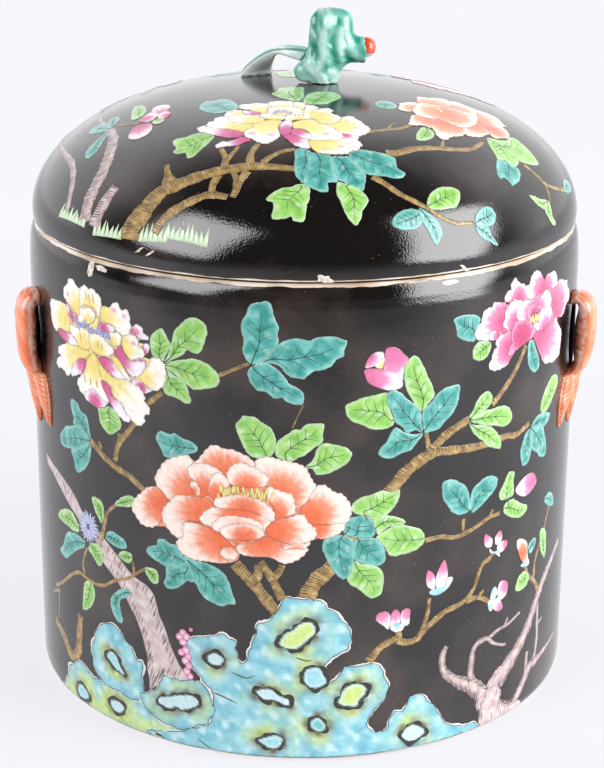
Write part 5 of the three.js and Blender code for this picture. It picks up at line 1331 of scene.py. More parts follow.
def dome_boughs(paint, palette):
    """The trunks, the boughs and the grass on the cover."""
    ochre, grey, green = palette.ochre, palette.lavender, palette.green
    for widths, *row in (
            ((7, 6.4, 5.4, 4.2, 3, 2.2), -94.5, -82.5, -90, -76, -82, -66, -78, -54, -77.4, -42, -81, -29, -85, -16,
             -86, -4),
            ((3.4, 3.2, 2.4, 1.6), -102, -69, -97, -59, -96.6, -46, -101, -30, -105, -14, -107, 0),
            ((6.5, 6, 4.6), -90.5, -88, -83.5, -83, -76, -78)):
        bough(paint, grey, 2, widths, row)
    for widths, *row in (
            ((3.2, 2.6), -22, -91, -24.5, -95, -26.5, -99.5, -28, -102.5),
            ((2.2, 1.8), -27.5, -90, -26.5, -94, -27, -98),
            ((3.2, 2.8), -33.1, -90.8, -35.4, -94.6, -36.2, -99.2),
            ((3.4, 4, 3.4, 2.6), -62, -107, -57, -103.5, -50, -101.2, -43, -99.8, -37, -99.3, -30, -102),
            ((7, 3, 1.6), -53, -89, -53.5, -83, -53.7, -78),
            ((3, 1.8), -30.8, -86.2, -30.4, -81.5, -32.3, -75.4),
            ((2.2, 1.6), -30.4, -83.8, -28.5, -80.8, -26.2, -76.9, -25.8, -75),
            ((3.4, 2), -20.8, -86.9, -20.8, -82.3, -19.2, -77.7, -17.7, -74.6),
            ((2.4, 1.8), -16.2, -86.9, -13.1, -83.8, -8.5, -80.8, -3.8, -79.6),
            ((9, 9, 8, 6.5, 6, 5.4, 5, 4.6, 4.5, 4, 3.2, 2.5), -74.6, -103.6, -71.5, -99.8, -65.4, -96.9, -60, -93.1,
             -54.6, -90.8, -48.5, -90.4, -43.1, -89.6, -36.2, -88.8, -28.5, -88.5, -20.8, -88.5, -14.6, -89.2,
             -8.5, -90.4, -3.8, -91.2),
            ((2.8, 2, 1.4), 25.8, -92.5, 30.8, -95, 36.7, -98.3, 43.3, -100, 50, -101.3, 55, -102.5, 61.7, -102.1,
             66.7, -99.6, 69.2, -98.3),
            ((3.6, 2.6, 1.8), 30.8, -77.5, 35, -76.7, 41.7, -71.7, 50, -67.5, 58.3, -64.2, 65, -60, 68.3, -55,
             70.8, -50),
            ((1.6, 1.2), 53.3, -65.8, 53.8, -59),
            ((1.8, 1.4), 24.2, -64.2, 30.8, -60.8, 36.7, -57.5, 41.7, -52.5),
            ((1.1, 0.8), 31.7, -60, 33.3, -55.8, 35, -53.3),
            ((2, 1.4), 89.2, -50.8, 95.8, -51.3, 100.8, -51.7, 105, -49.2, 108.3, -45.8, 111.7, -41.7, 115, -36.7,
             116.7, -32.5, 120, -25),
            ((1.5, 1.2), 101.7, -52.5, 104.2, -55.8, 105.8, -59.2), ((1.5, 1.1), -66, -38, -71, -36, -76, -32)):
        bough(paint, ochre, 4, widths, row)
    grass(paint, green, (-70, -106), (-57, -112), 6, 6)
    grass(paint, green, (-57.7, -110), (-40, -119.2), 6, 9)
    grass(paint, green, (-92, -90), (-78, -101), 5, 7)
    grass(paint, green, (-108, -66), (-95, -84), 5, 8)


# Surfaces


def nodes_of(material):
    """A material's nodes, links and shader."""
    tree = material.node_tree
    return tree.nodes, tree.links, tree.nodes["Principled BSDF"]


def added(nodes, kind, **values):
    """A new node, with the values of some of its sockets."""
    node = nodes.new("ShaderNode" + kind)
    for name, value in values.items():
        node.inputs[name.replace("_", " ")].default_value = value
    return node


def stops(ramp, *colours):
    """Set a new colour ramp: each place along it and its grey or colour."""
    elements = ramp.color_ramp.elements
    for k, (place, colour) in enumerate(colours):
        element = elements[k] if k < 2 else elements.new(place)
        element.position, element.color = place, (*colour, 1)


def fired(name, roughness, coat=0.0):
    """A new glazed material with its gloss."""
    material = bpy.data.materials.new(name)
    material.use_nodes = True
    shader = nodes_of(material)[2]
    shader.inputs["Roughness"].default_value = roughness
    shader.inputs["Coat Weight"].default_value = coat
    shader.inputs["Coat Roughness"].default_value = 0.05
    return material


def speckle(material, scale, detail=3.0, low=0.35, high=0.65):
    """Noise on the object's own coordinates, spread from 0 to 1."""
    nodes, links, _ = nodes_of(material)
    texture = added(nodes, "TexNoise", Scale=scale, Detail=detail)
    spread = added(nodes, "MapRange", From_Min=low, From_Max=high)
    links.new(added(nodes, "TexCoord").outputs["Object"], texture.inputs["Vector"])
    links.new(texture.outputs["Fac"], spread.inputs["Value"])
    return spread.outputs["Result"]


def between(material, share, one, other):
    """A mix of two colours; either may be a socket."""
    nodes, links, _ = nodes_of(material)
    mix = added(nodes, "Mix")
    mix.data_type = "RGBA"
    links.new(share, mix.inputs["Factor"])
    for socket, value in ((mix.inputs["A"], one), (mix.inputs["B"], other)):
        if isinstance(value, bpy.types.NodeSocket):
            links.new(value, socket)
        else:
            socket.default_value = (*value, 1)
    return mix.outputs["Result"]


def dented(material, heights, distance, strength):
    """Bump from a height socket, in millimetres."""
    nodes, links, shader = nodes_of(material)
    bump = added(nodes, "Bump", Distance=distance * MM, Strength=strength)
    links.new(heights, bump.inputs["Height"])
    links.new(bump.outputs["Normal"], shader.inputs["Normal"])


def above(material, height, ragged, scale):
    """1 above a height in millimetres and 0 below it, along a ragged line."""
    nodes, links, _ = nodes_of(material)
    place, parts = added(nodes, "TexCoord"), added(nodes, "SeparateXYZ")
    texture = added(nodes, "TexNoise", Scale=scale)
    wobble = added(nodes, "Math")
    wobble.operation = "MULTIPLY_ADD"
    wobble.inputs[1].default_value = ragged * MM
    start = height * MM + ragged * MM / 2
    step = added(nodes, "MapRange", From_Min=start, From_Max=start + 0.2 * MM)
    links.new(place.outputs["Object"], parts.inputs["Vector"])
    links.new(place.outputs["Object"], texture.inputs["Vector"])
    links.new(texture.outputs["Fac"], wobble.inputs[0])
    links.new(parts.outputs["Z"], wobble.inputs[2])
    links.new(wobble.outputs["Value"], step.inputs["Value"])
    return step.outputs["Result"]


def black_glaze(name, colours, sizes, biscuit_to, biscuit_from=None):
    """Brown-black glaze with pits, over clay that is bare up to one height and perhaps from another; 1.1 mm above that
    other height the clay turns dark, as painted shade in the joint under the cover.
    """
    material = fired(name, 0.07)
    _, links, shader = nodes_of(material)
    shader.inputs["IOR"].default_value = 1.68
    colour = between(material, speckle(material, 24, 7, 0.48, 0.72), colours.glaze, colours.glaze_thin)
    colour = between(material, speckle(material, 900, 2, 0.72, 0.8), colour, linear(116, 104, 94))
    clay = between(material, speckle(material, 60, 6), mixed(colours.biscuit, linear(120, 90, 66), 0.45),
                   mixed(colours.biscuit, CHALK, 0.5))
    if biscuit_from is not None:
        colour = between(material, above(material, biscuit_from, 1.8, 110), colour, clay)
        # Painted shade: dark from just under the rim upwards, where the joint under the cover lies in shade
        colour = between(material, above(material, biscuit_from + 1.1, 0.5, 40), colour, linear(52, 40, 34))
    colour = between(material, above(material, biscuit_to, 1.5, 90), clay, colour)
    links.new(colour, shader.inputs["Base Color"])
    dented(material, speckle(material, 1300, 3, 0.3, 0.7), sizes.pit_depth / MM, 0.8)
    return material


def enamel(name, roughness, grain=0.84):
    """Painted enamel: its colour is the piece's own, with brushed clouds over it."""
    material = fired(name, roughness, coat=0.2)
    nodes, links, shader = nodes_of(material)
    own = added(nodes, "Attribute")
    own.attribute_name = "enamel"
    dark = added(nodes, "Mix", Factor=1.0)
    dark.data_type, dark.blend_type = "RGBA", "MULTIPLY"
    brushed = between(material, speckle(material, 420, 5), (grain, grain, grain + 0.02), (1.0, 1.0, 1.0))
    links.new(own.outputs["Color"], dark.inputs["A"])
    links.new(brushed, dark.inputs["B"])
    links.new(dark.outputs["Result"], shader.inputs["Base Color"])
    dented(material, speckle(material, 700, 3), 0.03, 0.6)
    return material


# Turned pieces


def chosen(piece):
    """Select one object alone and make it the active one."""
    bpy.ops.object.select_all(action="DESELECT")
    bpy.context.view_layer.objects.active = piece
    piece.select_set(True)


def turned(name, profile, steps=192):
    """A closed turned mesh; the profile runs from axis to axis, in millimetres."""
    mesh = bpy.data.meshes.new(name)
    places = [(r * MM, 0, z * MM) for r, z in profile]
    mesh.from_pydata(places, [(i, i + 1) for i in range(len(places) - 1)], [])
    piece = bpy.data.objects.new(name, mesh)
    bpy.context.scene.collection.objects.link(piece)
    chosen(piece)
    bpy.ops.object.mode_set(mode="EDIT")
    bpy.ops.mesh.select_all(action="SELECT")
    bpy.ops.mesh.spin(steps=steps, angle=2 * math.pi, center=(0, 0, 0), axis=(0, 0, 1))
    bpy.ops.mesh.select_all(action="SELECT")
    bpy.ops.mesh.remove_doubles(threshold=1e-6)
    bpy.ops.mesh.normals_make_consistent(inside=False)
    bpy.ops.object.mode_set(mode="OBJECT")
    bpy.ops.object.shade_smooth_by_angle(angle=math.radians(40))
    piece.select_set(False)
    return piece


def jar_profile():
    """The jar from the middle of its underside, up its wall, over the neck and down inside."""
    rise = [(WALL_RADIUS, z) for z in np.linspace(4, RIM - LIP_DEPTHS[0], 24)]
    depths = np.concatenate([np.linspace(LIP_DEPTHS[0], 1.5, 22)[1:], np.linspace(1.5, 0, 8)[1:]])
    lip = [(float(wall_radius(RIM - depth)), RIM - depth) for depth in depths]
    foot = [(0, FOOT_RECESS), (60, FOOT_RECESS), (100, FOOT_RECESS), (102.6, 4), (104, 0.8), (105.2, 0), (111.6, 0),
            (113, 0.5), (WALL_RADIUS - 0.4, 1.8)]
    inner = COVER_RADIUS - COVER_WALL
    neck = [(inner - 1, RIM), (inner - 1.4, NECK_TOP - 1), (inner - 2.3, NECK_TOP), (inner - 3.6, NECK_TOP),
            (inner - 4.5, NECK_TOP - 1), (inner - 4.5, RIM - 6), (JAR_INSIDE, RIM - 12)]
    inside_wall = [(JAR_INSIDE, z) for z in np.linspace(RIM - 30, JAR_FLOOR_TOP + 4, 12)]
    cove = [(JAR_INSIDE - 1.2, JAR_FLOOR_TOP + 1.2), (JAR_INSIDE - 4, JAR_FLOOR_TOP)]
    return foot + rise + lip + neck + inside_wall + cove + [(60, JAR_FLOOR_TOP), (0, JAR_FLOOR_TOP)]


def cover_profile():
    """The cover from the crown's underside, down inside, round its edge and up outside."""
    inner_radius = COVER_RADIUS - COVER_WALL
    _, inner_out, inner_up = dome_profile(inner_radius, CROWN - COVER_SEAT - CROWN_WALL, 60)
    inner = [(r, z + COVER_SEAT) for r, z in zip(inner_out, inner_up)][:-1]
    edge = [(inner_radius, COVER_SEAT + 0.6), (inner_radius + 0.5, COVER_SEAT),
            (DOME_RADIUS - 1.0, COVER_SEAT), (DOME_RADIUS - 0.3, COVER_SEAT + 0.3)]
    outer = [(r, z + COVER_SEAT) for r, z in zip(DOME_OUT[::6], DOME_UP[::6])][::-1]
    return inner + edge + [(r, z) for r, z in outer if z > COVER_SEAT + 0.8]


# Modelled pieces


def remodelled(node, name, voxel, smoothing=6):
    """A fine, softened copy of a node's mesh, and its points in millimetres."""
    piece = bpy.data.objects.new(name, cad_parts[node].data.copy())
    bpy.context.scene.collection.objects.link(piece)
    chosen(piece)
    bpy.ops.object.mode_set(mode="EDIT")
    bpy.ops.mesh.select_all(action="SELECT")
    bpy.ops.mesh.remove_doubles(threshold=1e-6)
    bpy.ops.object.mode_set(mode="OBJECT")
    remesh = piece.modifiers.new("fine", "REMESH")
    remesh.mode, remesh.voxel_size = "VOXEL", voxel
    bpy.ops.object.modifier_apply(modifier=remesh.name)
    smooth = piece.modifiers.new("soft", "SMOOTH")
    smooth.factor, smooth.iterations = 0.5, smoothing
    bpy.ops.object.modifier_apply(modifier=smooth.name)
    piece.select_set(False)
    mesh = piece.data
    mesh.materials.clear()
    places, normals = np.zeros(len(mesh.vertices) * 3), np.zeros(len(mesh.vertices) * 3)
    mesh.vertices.foreach_get("co", places)
    mesh.vertices.foreach_get("normal", normals)
    return piece, places.reshape(-1, 3) / MM, normals.reshape(-1, 3)


def finished(piece, places, colours, material, body, node):
    """Move a remodelled piece's points, colour them, and let it stand for its node."""
    piece.data.vertices.foreach_set("co", (places * MM).ravel())
    piece.data.update()
    piece.data.materials.append(material)
    coloured(piece.data, colours)
    piece.data.polygons.foreach_set("use_smooth", [True] * len(piece.data.polygons))
    settled(piece, body, [node])


def spots(places, size, seed=0.0):
    """Smooth wandering values over points in space."""
    flat = np.stack([places[:, 0] + 0.7 * places[:, 2], places[:, 1] - 0.6 * places[:, 2]], 1)
    return clouds(flat, size, seed)


def near_line(flat, *points):
    """How far flat points lie from a run of points."""
    run = pairs(points)
    start, along = run[:-1], np.diff(run, axis=0)
    offset = flat[:, None] - start[None]
    share = unit((offset * along).sum(2) / (along**2).sum(1))
    return np.linalg.norm(offset - share[..., None] * along, axis=2).min(1)


def by_the_wall(places):
    """A piece's own directions at the wall: outwards, sideways, and each point's part along them."""
    middle = places.mean(0)
    out = np.array([middle[0], middle[1], 0]) / np.hypot(middle[0], middle[1])
    side = np.array([-out[1], out[0], 0])
    distance = np.hypot(places[:, 0], places[:, 1])
    return out, side, distance - JAR_RADIUS, places @ side


def pressed(places, reach=1.3, depth=1.1):
    """Press the points nearest the wall into the glaze, so that no seam stays open."""
    distance = np.hypot(places[:, 0], places[:, 1])
    push = depth * unit(1 - (distance - JAR_RADIUS) / reach) ** 0.7
    return places * np.stack([1 - push / distance, 1 - push / distance, np.ones(len(places))], 1)


def handle_strap(node, name, material, colours, voxel):
    """A thick rolled strap with painted shade inside its loop, a worn edge, and a pale patch near its top that is
    painted highlight as well as wear.
    """
    piece, places, normals = remodelled(node, name, voxel)
    out, _, gap, _ = by_the_wall(places)
    low, high = places[:, 2].min(), places[:, 2].max()
    height = (places[:, 2] - low) / (high - low)
    places = places + normals * (0.12 * spots(places, 7, 1.0) + 0.06 * spots(places, 2.6, 2.0) - 0.2)[:, None]
    facing = normals @ out
    deep, pale = np.array(colours.strap), linear(252, 168, 128)
    colour = mixed(deep, pale, 0.4 + 0.25 * spots(places, 9, 3.0) + 0.12 * spots(places, 3, 4.0))
    knobs = unit((height - 0.8) / 0.1) * unit(0.5 + spots(places, 3.4, 5.0))
    colour = mixed(colour, linear(206, 84, 58), 0.55 * knobs)
    within = np.exp(-(((height - 0.51) / 0.36) ** 4))
    shadow = unit(-facing * 3.2 - 0.45 + 0.25 * spots(places, 2.6, 7.0))
    colour = mixed(colour, linear(42, 22, 20), 0.96 * within * shadow)
    inner = within * unit(-facing * 1.6)
    places = places - np.outer(0.8 * np.clip(gap - 1.1, 0, 6) * inner, out)
    edge = bell(facing + 0.1 + 0.07 * spots(places, 4.5, 6.0), 0.09)
    colour = mixed(colour, linear(252, 226, 204), 0.8 * edge)
    # Pale patch near the top bend: painted highlight, and wear there too
    wear_and_highlight = bell(height - 0.86, 0.06) * bell(gap - gap.max() * 0.6, 3.5)
    colour = mixed(colour, linear(255, 228, 214), 0.7 * wear_and_highlight)
    finished(piece, pressed(places), colour, material, "jar", node)


def handle_leaf(node, name, material, colours, voxel):
    """A long modelled leaf under a strap, cut with a midrib and slanting veins."""
    piece, places, normals = remodelled(node, name, voxel, 3)
    out, side, gap, across = by_the_wall(places)
    flat = np.stack([across - across.mean(), places[:, 2] - places[:, 2].mean()], 1)
    _, axes = np.linalg.eigh(np.cov(flat.T))
    length = flat @ axes[:, 1] * (-1 if axes[1, 1] > 0 else 1)
    width = flat @ axes[:, 0]
    stations = np.linspace(length.min(), length.max(), 20)
    half = np.array([np.abs(width[np.abs(length - at) < 1.2]).max() for at in stations])
    share = np.abs(width) / np.interp(length, stations, half)
    thin = 0.3 + 0.7 * np.sqrt(unit(1 - share**2))
    down = (length - length.min()) / np.ptp(length)
    narrow = 1 - 0.85 * unit((down - 0.5) / 0.5) ** 1.7 - 0.4 * unit((0.16 - down) / 0.16)
    thin = thin * (1 - 0.45 * unit((down - 0.6) / 0.4))
    places = places - np.outer((gap - 0.3) * (1 - thin), out)
    places = places - np.outer(width * (1 - narrow), side * axes[0, 0] + np.array([0, 0, axes[1, 0]]))
    facing = unit(normals @ out)
    vein = np.abs(np.sin((length - 1.1 * np.abs(width)) * math.pi / 2.4))
    cut = facing * (0.3 * bell(vein, 0.35) - 0.25 * bell(width, 0.45) + 0.25)
    places = places - normals * cut[:, None]
    colour = mixed(np.array(colours.strap), linear(248, 176, 140), 0.4 + 0.35 * spots(places, 5, 2.0))
    colour = mixed(colour, linear(132, 52, 36), 0.85 * facing * bell(vein, 0.3))
    colour = mixed(colour, linear(252, 214, 190), 0.7 * facing * bell(width, 0.4))
    colour = mixed(colour, linear(252, 212, 184), 0.7 * unit((share - 0.8) / 0.2) * facing)
    colour = mixed(colour, linear(190, 84, 54), 0.6 * unit(0.5 - facing))
    finished(piece, pressed(places, 1.0, 0.9), colour, material, "jar", node)


def finial_pod(material, colours, voxel):
    """A ribbed pod with a spout: green pooled in its hollows and thin on its ribs."""
    piece, places, normals = remodelled("finial_pod", "modelled_pod", voxel)
    flat = np.stack([places[:, 0], places[:, 2] - CROWN], 1)
    # Hollows and ribs: points across and above the crown, for the side that faces the front
    hollows = ((4, 28, 3.2, 22, 4.4, 17, 3, 11), (13, 25, 11.6, 19, 11, 13, 12.4, 8), (19, 25, 18.6, 21, 20, 17.5),
               (15.5, 12, 18, 8.5, 17, 6))
    ribs = ((9.6, 27, 7.4, 22, 6.6, 17, 7, 11, 4, 4), (14.6, 22, 14, 17, 14.6, 12), (16.4, 26, 16.6, 21, 18.4, 16),
            (0.5, 8, 3.4, 4, 7.4, 2.6), (10, 4.5, 13, 3, 15.6, 1.6))
    low = np.min([near_line(flat, *run) for run in hollows], 0)
    high = np.min([near_line(flat, *run) for run in ribs], 0)
    wave = 0.5 * np.cos(5 * np.arctan2(places[:, 1], places[:, 0] - 8) + 1)
    front = unit(0.3 - normals[:, 1] * 1.2)
    mouth = unit((flat[:, 0] - 21.5) / 1.5)
    relief = front * (0.4 * bell(high, 1.7) - 0.55 * bell(low, 1.7))
    relief = relief + (1 - front) * 0.3 * wave + 0.1 * spots(places, 5, 1.0)
    notch = bell(flat[:, 0] - 7.6, 0.6) * unit((flat[:, 1] - 27.5) / 3)
    relief = np.minimum(relief - 0.45, 0) * (1 - mouth)
    skirt = unit(1 - flat[:, 1] / 3.2)
    places = places + normals * (relief - 0.4 * notch)[:, None]
    places[:, 2] -= 0.9 * skirt
    pooled = front * bell(low, 1.9) + (1 - front) * unit(-wave * 1.4)
    thin = front * bell(high, 1.5) + (1 - front) * unit(wave * 1.4 - 0.2)
    colour = mixed(np.array(colours.pod), np.array(colours.pod_light),
                   0.4 + 0.2 * spots(places, 6, 2.0) - 0.35 * pooled)
    colour = mixed(colour, linear(206, 240, 232), 0.75 * thin)
    colour = mixed(colour, linear(232, 246, 240), 0.75 * skirt * (0.7 + 0.5 * spots(places, 3, 3.0)))
    colour = mixed(colour, linear(150, 176, 172), 0.5 * unit((flat[:, 1] - 29) / 1.4))
    colour = mixed(colour, linear(30, 60, 56), 0.8 * notch)
    lip = unit((flat[:, 0] - 23.4) / 1.2) * unit((11 - flat[:, 1]) / 3)
    colour = mixed(colour, linear(226, 244, 240), lip)
    seam = bell(flat[:, 0] - 0.6, 2.2) * unit(1.6 - flat[:, 1])
    colour = mixed(colour, linear(28, 24, 26), seam)
    finished(piece, places, colour, material, "cover", "finial_pod")


def finial_stem(material, colours, voxel):
    """The arched stem: pale, whitened as painted light where it faces sideways or down, with a dark line of pooled
    glaze along its groove.
    """
    piece, places, normals = remodelled("finial_stem", "modelled_stem", voxel, 3)
    spans = np.linspace(places[:, 0].min(), places[:, 0].max(), 40)
    crest = np.array([places[np.abs(places[:, 0] - at) < 0.8, 2].max() for at in spans])
    drop = np.interp(places[:, 0], spans, crest) - places[:, 2]
    line = bell(drop - 1.5, 0.4) * unit(-normals[:, 1] * 3)
    places = places - normals * (0.35 * line + 0.1)[:, None]
    colour = mixed(linear(196, 232, 226), linear(244, 250, 248), 0.4 + 0.4 * spots(places, 6, 1.0))
    colour = mixed(colour, np.array(colours.pod_light), 0.35 * unit(normals[:, 2] * 1.4 - 0.1))
    colour = mixed(colour, np.array(colours.pod) * 0.75, 0.92 * line)
    # Painted light: faces that turn sideways or down are whitened, so that the shaded underside reads pale
    colour = mixed(colour, linear(250, 253, 252), 0.8 * unit(0.3 - normals[:, 2] * 1.4) * (1 - line))
    foot = unit(1.6 - (places[:, 2] - np.interp(np.hypot(places[:, 0], places[:, 1]), DOME_OUT, DOME_UP)
                          - COVER_SEAT))
    far_end = unit((-10 - places[:, 0]) / 3)
    colour = mixed(colour, linear(34, 28, 32), 0.9 * foot * far_end * unit(0.5 + spots(places, 4, 2.0)))
    places[:, 2] -= 0.9 * foot
    finished(piece, places, colour, material, "cover", "finial_stem")


def finial_bud(material, colours, voxel):
    """The red bud in the spout's mouth, with a white spot below that is a painted highlight."""
    piece, places, normals = remodelled("finial_bud", "modelled_bud", voxel)
    middle = (places.min(0) + places.max(0)) / 2
    offset = places - middle
    colour = mixed(np.array(colours.bud), linear(240, 104, 70), 0.15 + 0.3 * spots(places, 3, 1.0))
    hollow = bell(offset[:, 0] - 1.2, 1.2) * unit(-normals[:, 1])
    colour = mixed(colour, linear(250, 148, 104), 0.6 * hollow)
    # Painted highlight: a white spot on the bud's lower part
    white = unit((-offset[:, 2] - 1.9) / 0.8) * unit(1.6 - offset[:, 0])
    places[:, 0] -= 1.3 * unit(0.9 - (places[:, 0] - places[:, 0].min()) / 4)
    colour = mixed(colour, linear(236, 240, 238), white)
    finished(piece, places, colour, material, "cover", "finial_bud")


def chips(sheet, body, context, *places):
    """Chips that show the white clay: middle and radii of each."""
    paint = Paint(sheet, False, context.scene.jar_sizes.enamel_start / MM)
    for x, y, wide, tall in places:
        ragged = 1 + 0.22 * clouds(ellipse(0, 0, 1, 1, 24) * 2, 2.4, x)
        outline = rounded(ellipse(x, y, wide, tall, 24, ragged[:, None]), 0.4)
        paint.patch(outline, lambda flat, depth: mixed(linear(236, 230, 222), linear(198, 176, 154),
                                                       0.4 + 0.5 * clouds(flat, 1.6)), 0, grid=0.5, rim=0.2)
    paint.piece(body + "_chips", enamel("bare clay of the " + body, 0.6), "black_glaze", body)


# Operators, one for each piece or group of like pieces


class JAR_OT_body(bpy.types.Operator):
    """Turn the glazed jar"""

    bl_idname = "jar.body"
    bl_label = "Turn the jar"

    def execute(self, context):
        scene = context.scene
        piece = turned("glazed_jar", jar_profile())
        piece.data.materials.append(black_glaze("jar glaze", scene.jar_colours, scene.jar_sizes, 1.5, RIM - 1.7))
        settled(piece, "jar", ["jar_body"])
        chips(on_wall, "jar", context,
              (-92, RIM - 4.6, 1.7, 3.2), (-86, RIM - 3.2, 3.4, 0.9), (58, RIM - 3.0, 4, 0.8))
        return {"FINISHED"}


class JAR_OT_cover(bpy.types.Operator):
    """Turn the glazed cover"""

    bl_idname = "jar.cover"
    bl_label = "Turn the cover"

    def execute(self, context):
        scene = context.scene
        piece = turned("glazed_cover", cover_profile())
        piece.data.materials.append(
            black_glaze("cover glaze", scene.jar_colours, scene.jar_sizes, COVER_SEAT + 0.6))
        settled(piece, "cover", ["cover_dome"])
        # Each chip: azimuth from the front, half width, half height, distance from the edge
        places = []
        for azimuth, wide, tall, rise in (
            (3.8, 3.4, 1.5, 1.2), (-33, 2.4, 0.5, 7), (-30.5, 2.6, 0.45, 6.4), (32, 3, 0.8, 1.1),
        ):
            run, turn = DOME_RUN[-1] - rise, math.radians(azimuth)
            places.append((run * math.sin(turn), -run * math.cos(turn), wide, tall))
        chips(on_dome, "cover", context, *places)
        return {"FINISHED"}


class JAR_OT_handles(bpy.types.Operator):
    """Model the two handles with their leaves, and paint shade on the wall behind them"""

    bl_idname = "jar.handles"
    bl_label = "Model the handles"

    def execute(self, context):
        colours, voxel = context.scene.jar_colours, context.scene.jar_sizes.voxel
        material = enamel("handle enamel", 0.16, 0.9)
        for side in ("left", "right"):
            handle_strap(f"{side}_handle_strap", f"{side}_strap", material, colours, voxel)
            for k in (1, 2):
                handle_leaf(f"{side}_handle_leaf_{k}", f"{side}_leaf_{k}", material, colours, voxel * 0.75)
        # Matt dark patches on the wall behind the straps are painted shade, so that the openings of the loops read
        # dark
        shade_matt = enamel("matt black", 0.8, 0.7)
        shader = nodes_of(shade_matt)[2]
        shader.inputs["Specular IOR Level"].default_value = shader.inputs["Coat Weight"].default_value = 0.0
        ground = Paint(on_wall, False, context.scene.jar_sizes.enamel_start / MM)
        height, wide, tall = 153.5, 9.4, 17.5
        for azimuth in (-73.5, 75.5):
            outline = ellipse(math.radians(azimuth) * JAR_RADIUS, height, wide, tall, 40)
            outline = outline + outwards(outline) * 0.3 * clouds(outline, 6, azimuth)[:, None]
            ground.patch(outline, lambda flat, depth: mixed(
                linear(24, 18, 18), linear(44, 30, 28), clouds(flat, 5)), 0)
        ground.piece("handle_grounds", shade_matt, "black_glaze", "jar")
        return {"FINISHED"}


class JAR_OT_finial(bpy.types.Operator):
    """Model the finial's pod, stem and bud"""

    bl_idname = "jar.finial"
    bl_label = "Model the finial"

    def execute(self, context):
        colours, voxel = context.scene.jar_colours, context.scene.jar_sizes.voxel
        material = enamel("finial enamel", 0.12, 0.92)
        finial_pod(material, colours, voxel)
        finial_stem(material, colours, voxel * 0.8)
        finial_bud(material, colours, voxel * 0.8)
        return {"FINISHED"}


def painted(context, front, sheet, body, draw, slot, roughness=0.2, bed=None):
    """Draw motifs on a sheet's front and, mirrored, on its back; bed is the layer of a flower's ground."""
    material = enamel(front.replace("_", " "), roughness)
    for far in (False, True):
        paint = Paint(sheet, far, context.scene.jar_sizes.enamel_start / MM)
        draw(paint, far)
        if bed is not None:
            flower_bed(paint, bed, paint.rows)
        paint.piece(("back_" if far else "front_") + front, material, slot, body)


class JAR_OT_peonies(bpy.types.Operator):
    """Paint the peonies"""

    bl_idname = "jar.peonies"
    bl_label = "Paint the peonies"

    def execute(self, context):
        own = Palette(context.scene.jar_colours)
        pale = (own.coral[1], own.coral[2], own.coral[2])
        pale_pink = (own.pink[1], own.pink[2], own.pink[2])
        cup = (own.aqua[1], own.aqua[2], CHALK)
        soft = (mixed(own.magenta[0], own.magenta[1], 0.35), own.magenta[1], own.magenta[2])
        blush = (own.pink[0] * np.array([0.8, 0.6, 0.7]), own.pink[0], own.pink[1])
        painted(context, "middle_peony", on_wall, "jar", lambda paint, far: middle_peony(
            paint, own.pink if far else own.coral, pale_pink if far else pale), "coral_enamel", bed=WALL_BED)
        painted(context, "left_peony", on_wall, "jar", lambda paint, far: left_peony(
            paint, own.yellow, own.magenta, own.blue), "coral_enamel", bed=WALL_BED)
        painted(context, "right_peony", on_wall, "jar", lambda paint, far: right_peony(
            paint, own.coral if far else own.pink, own.coral if far else blush), "coral_enamel", bed=WALL_BED)

        def small(paint, far):
            wall_buds(paint, soft, own.yellow, own.coral, cup)
            wall_berries(paint, own.blue, own.magenta)

        painted(context, "wall_buds", on_wall, "jar", small, "coral_enamel")
        painted(context, "cover_peonies", on_dome, "cover", lambda paint, far: dome_peonies(
            paint, own, own.pink if far else own.coral), "coral_enamel")
        return {"FINISHED"}


class JAR_OT_leaves(bpy.types.Operator):
    """Paint the leaves"""

    bl_idname = "jar.leaves"
    bl_label = "Paint the leaves"

    def execute(self, context):
        own = Palette(context.scene.jar_colours)
        painted(context, "wall_leaves", on_wall, "jar", lambda paint, far: wall_leaves(paint, own), "green_enamel")
        painted(context, "cover_leaves", on_dome, "cover", lambda paint, far: dome_leaves(paint, own), "green_enamel")
        return {"FINISHED"}


class JAR_OT_boughs(bpy.types.Operator):
    """Paint the trunks and boughs"""

    bl_idname = "jar.boughs"
    bl_label = "Paint the boughs"

    def execute(self, context):
        own = Palette(context.scene.jar_colours)
        painted(context, "wall_boughs", on_wall, "jar", lambda paint, far: wall_boughs(paint, own), "black_glaze", 0.3)
        painted(context, "cover_boughs", on_dome, "cover", lambda paint, far: dome_boughs(paint, own),
                "black_glaze", 0.3)
        return {"FINISHED"}


class JAR_OT_rocks(bpy.types.Operator):
    """Paint the rockwork"""

    bl_idname = "jar.rocks"
    bl_label = "Paint the rockwork"

    def execute(self, context):
        own = Palette(context.scene.jar_colours)
        painted(context, "wall_rocks", on_wall, "jar", lambda paint, far: wall_rocks(paint, own), "green_enamel")
        return {"FINISHED"}


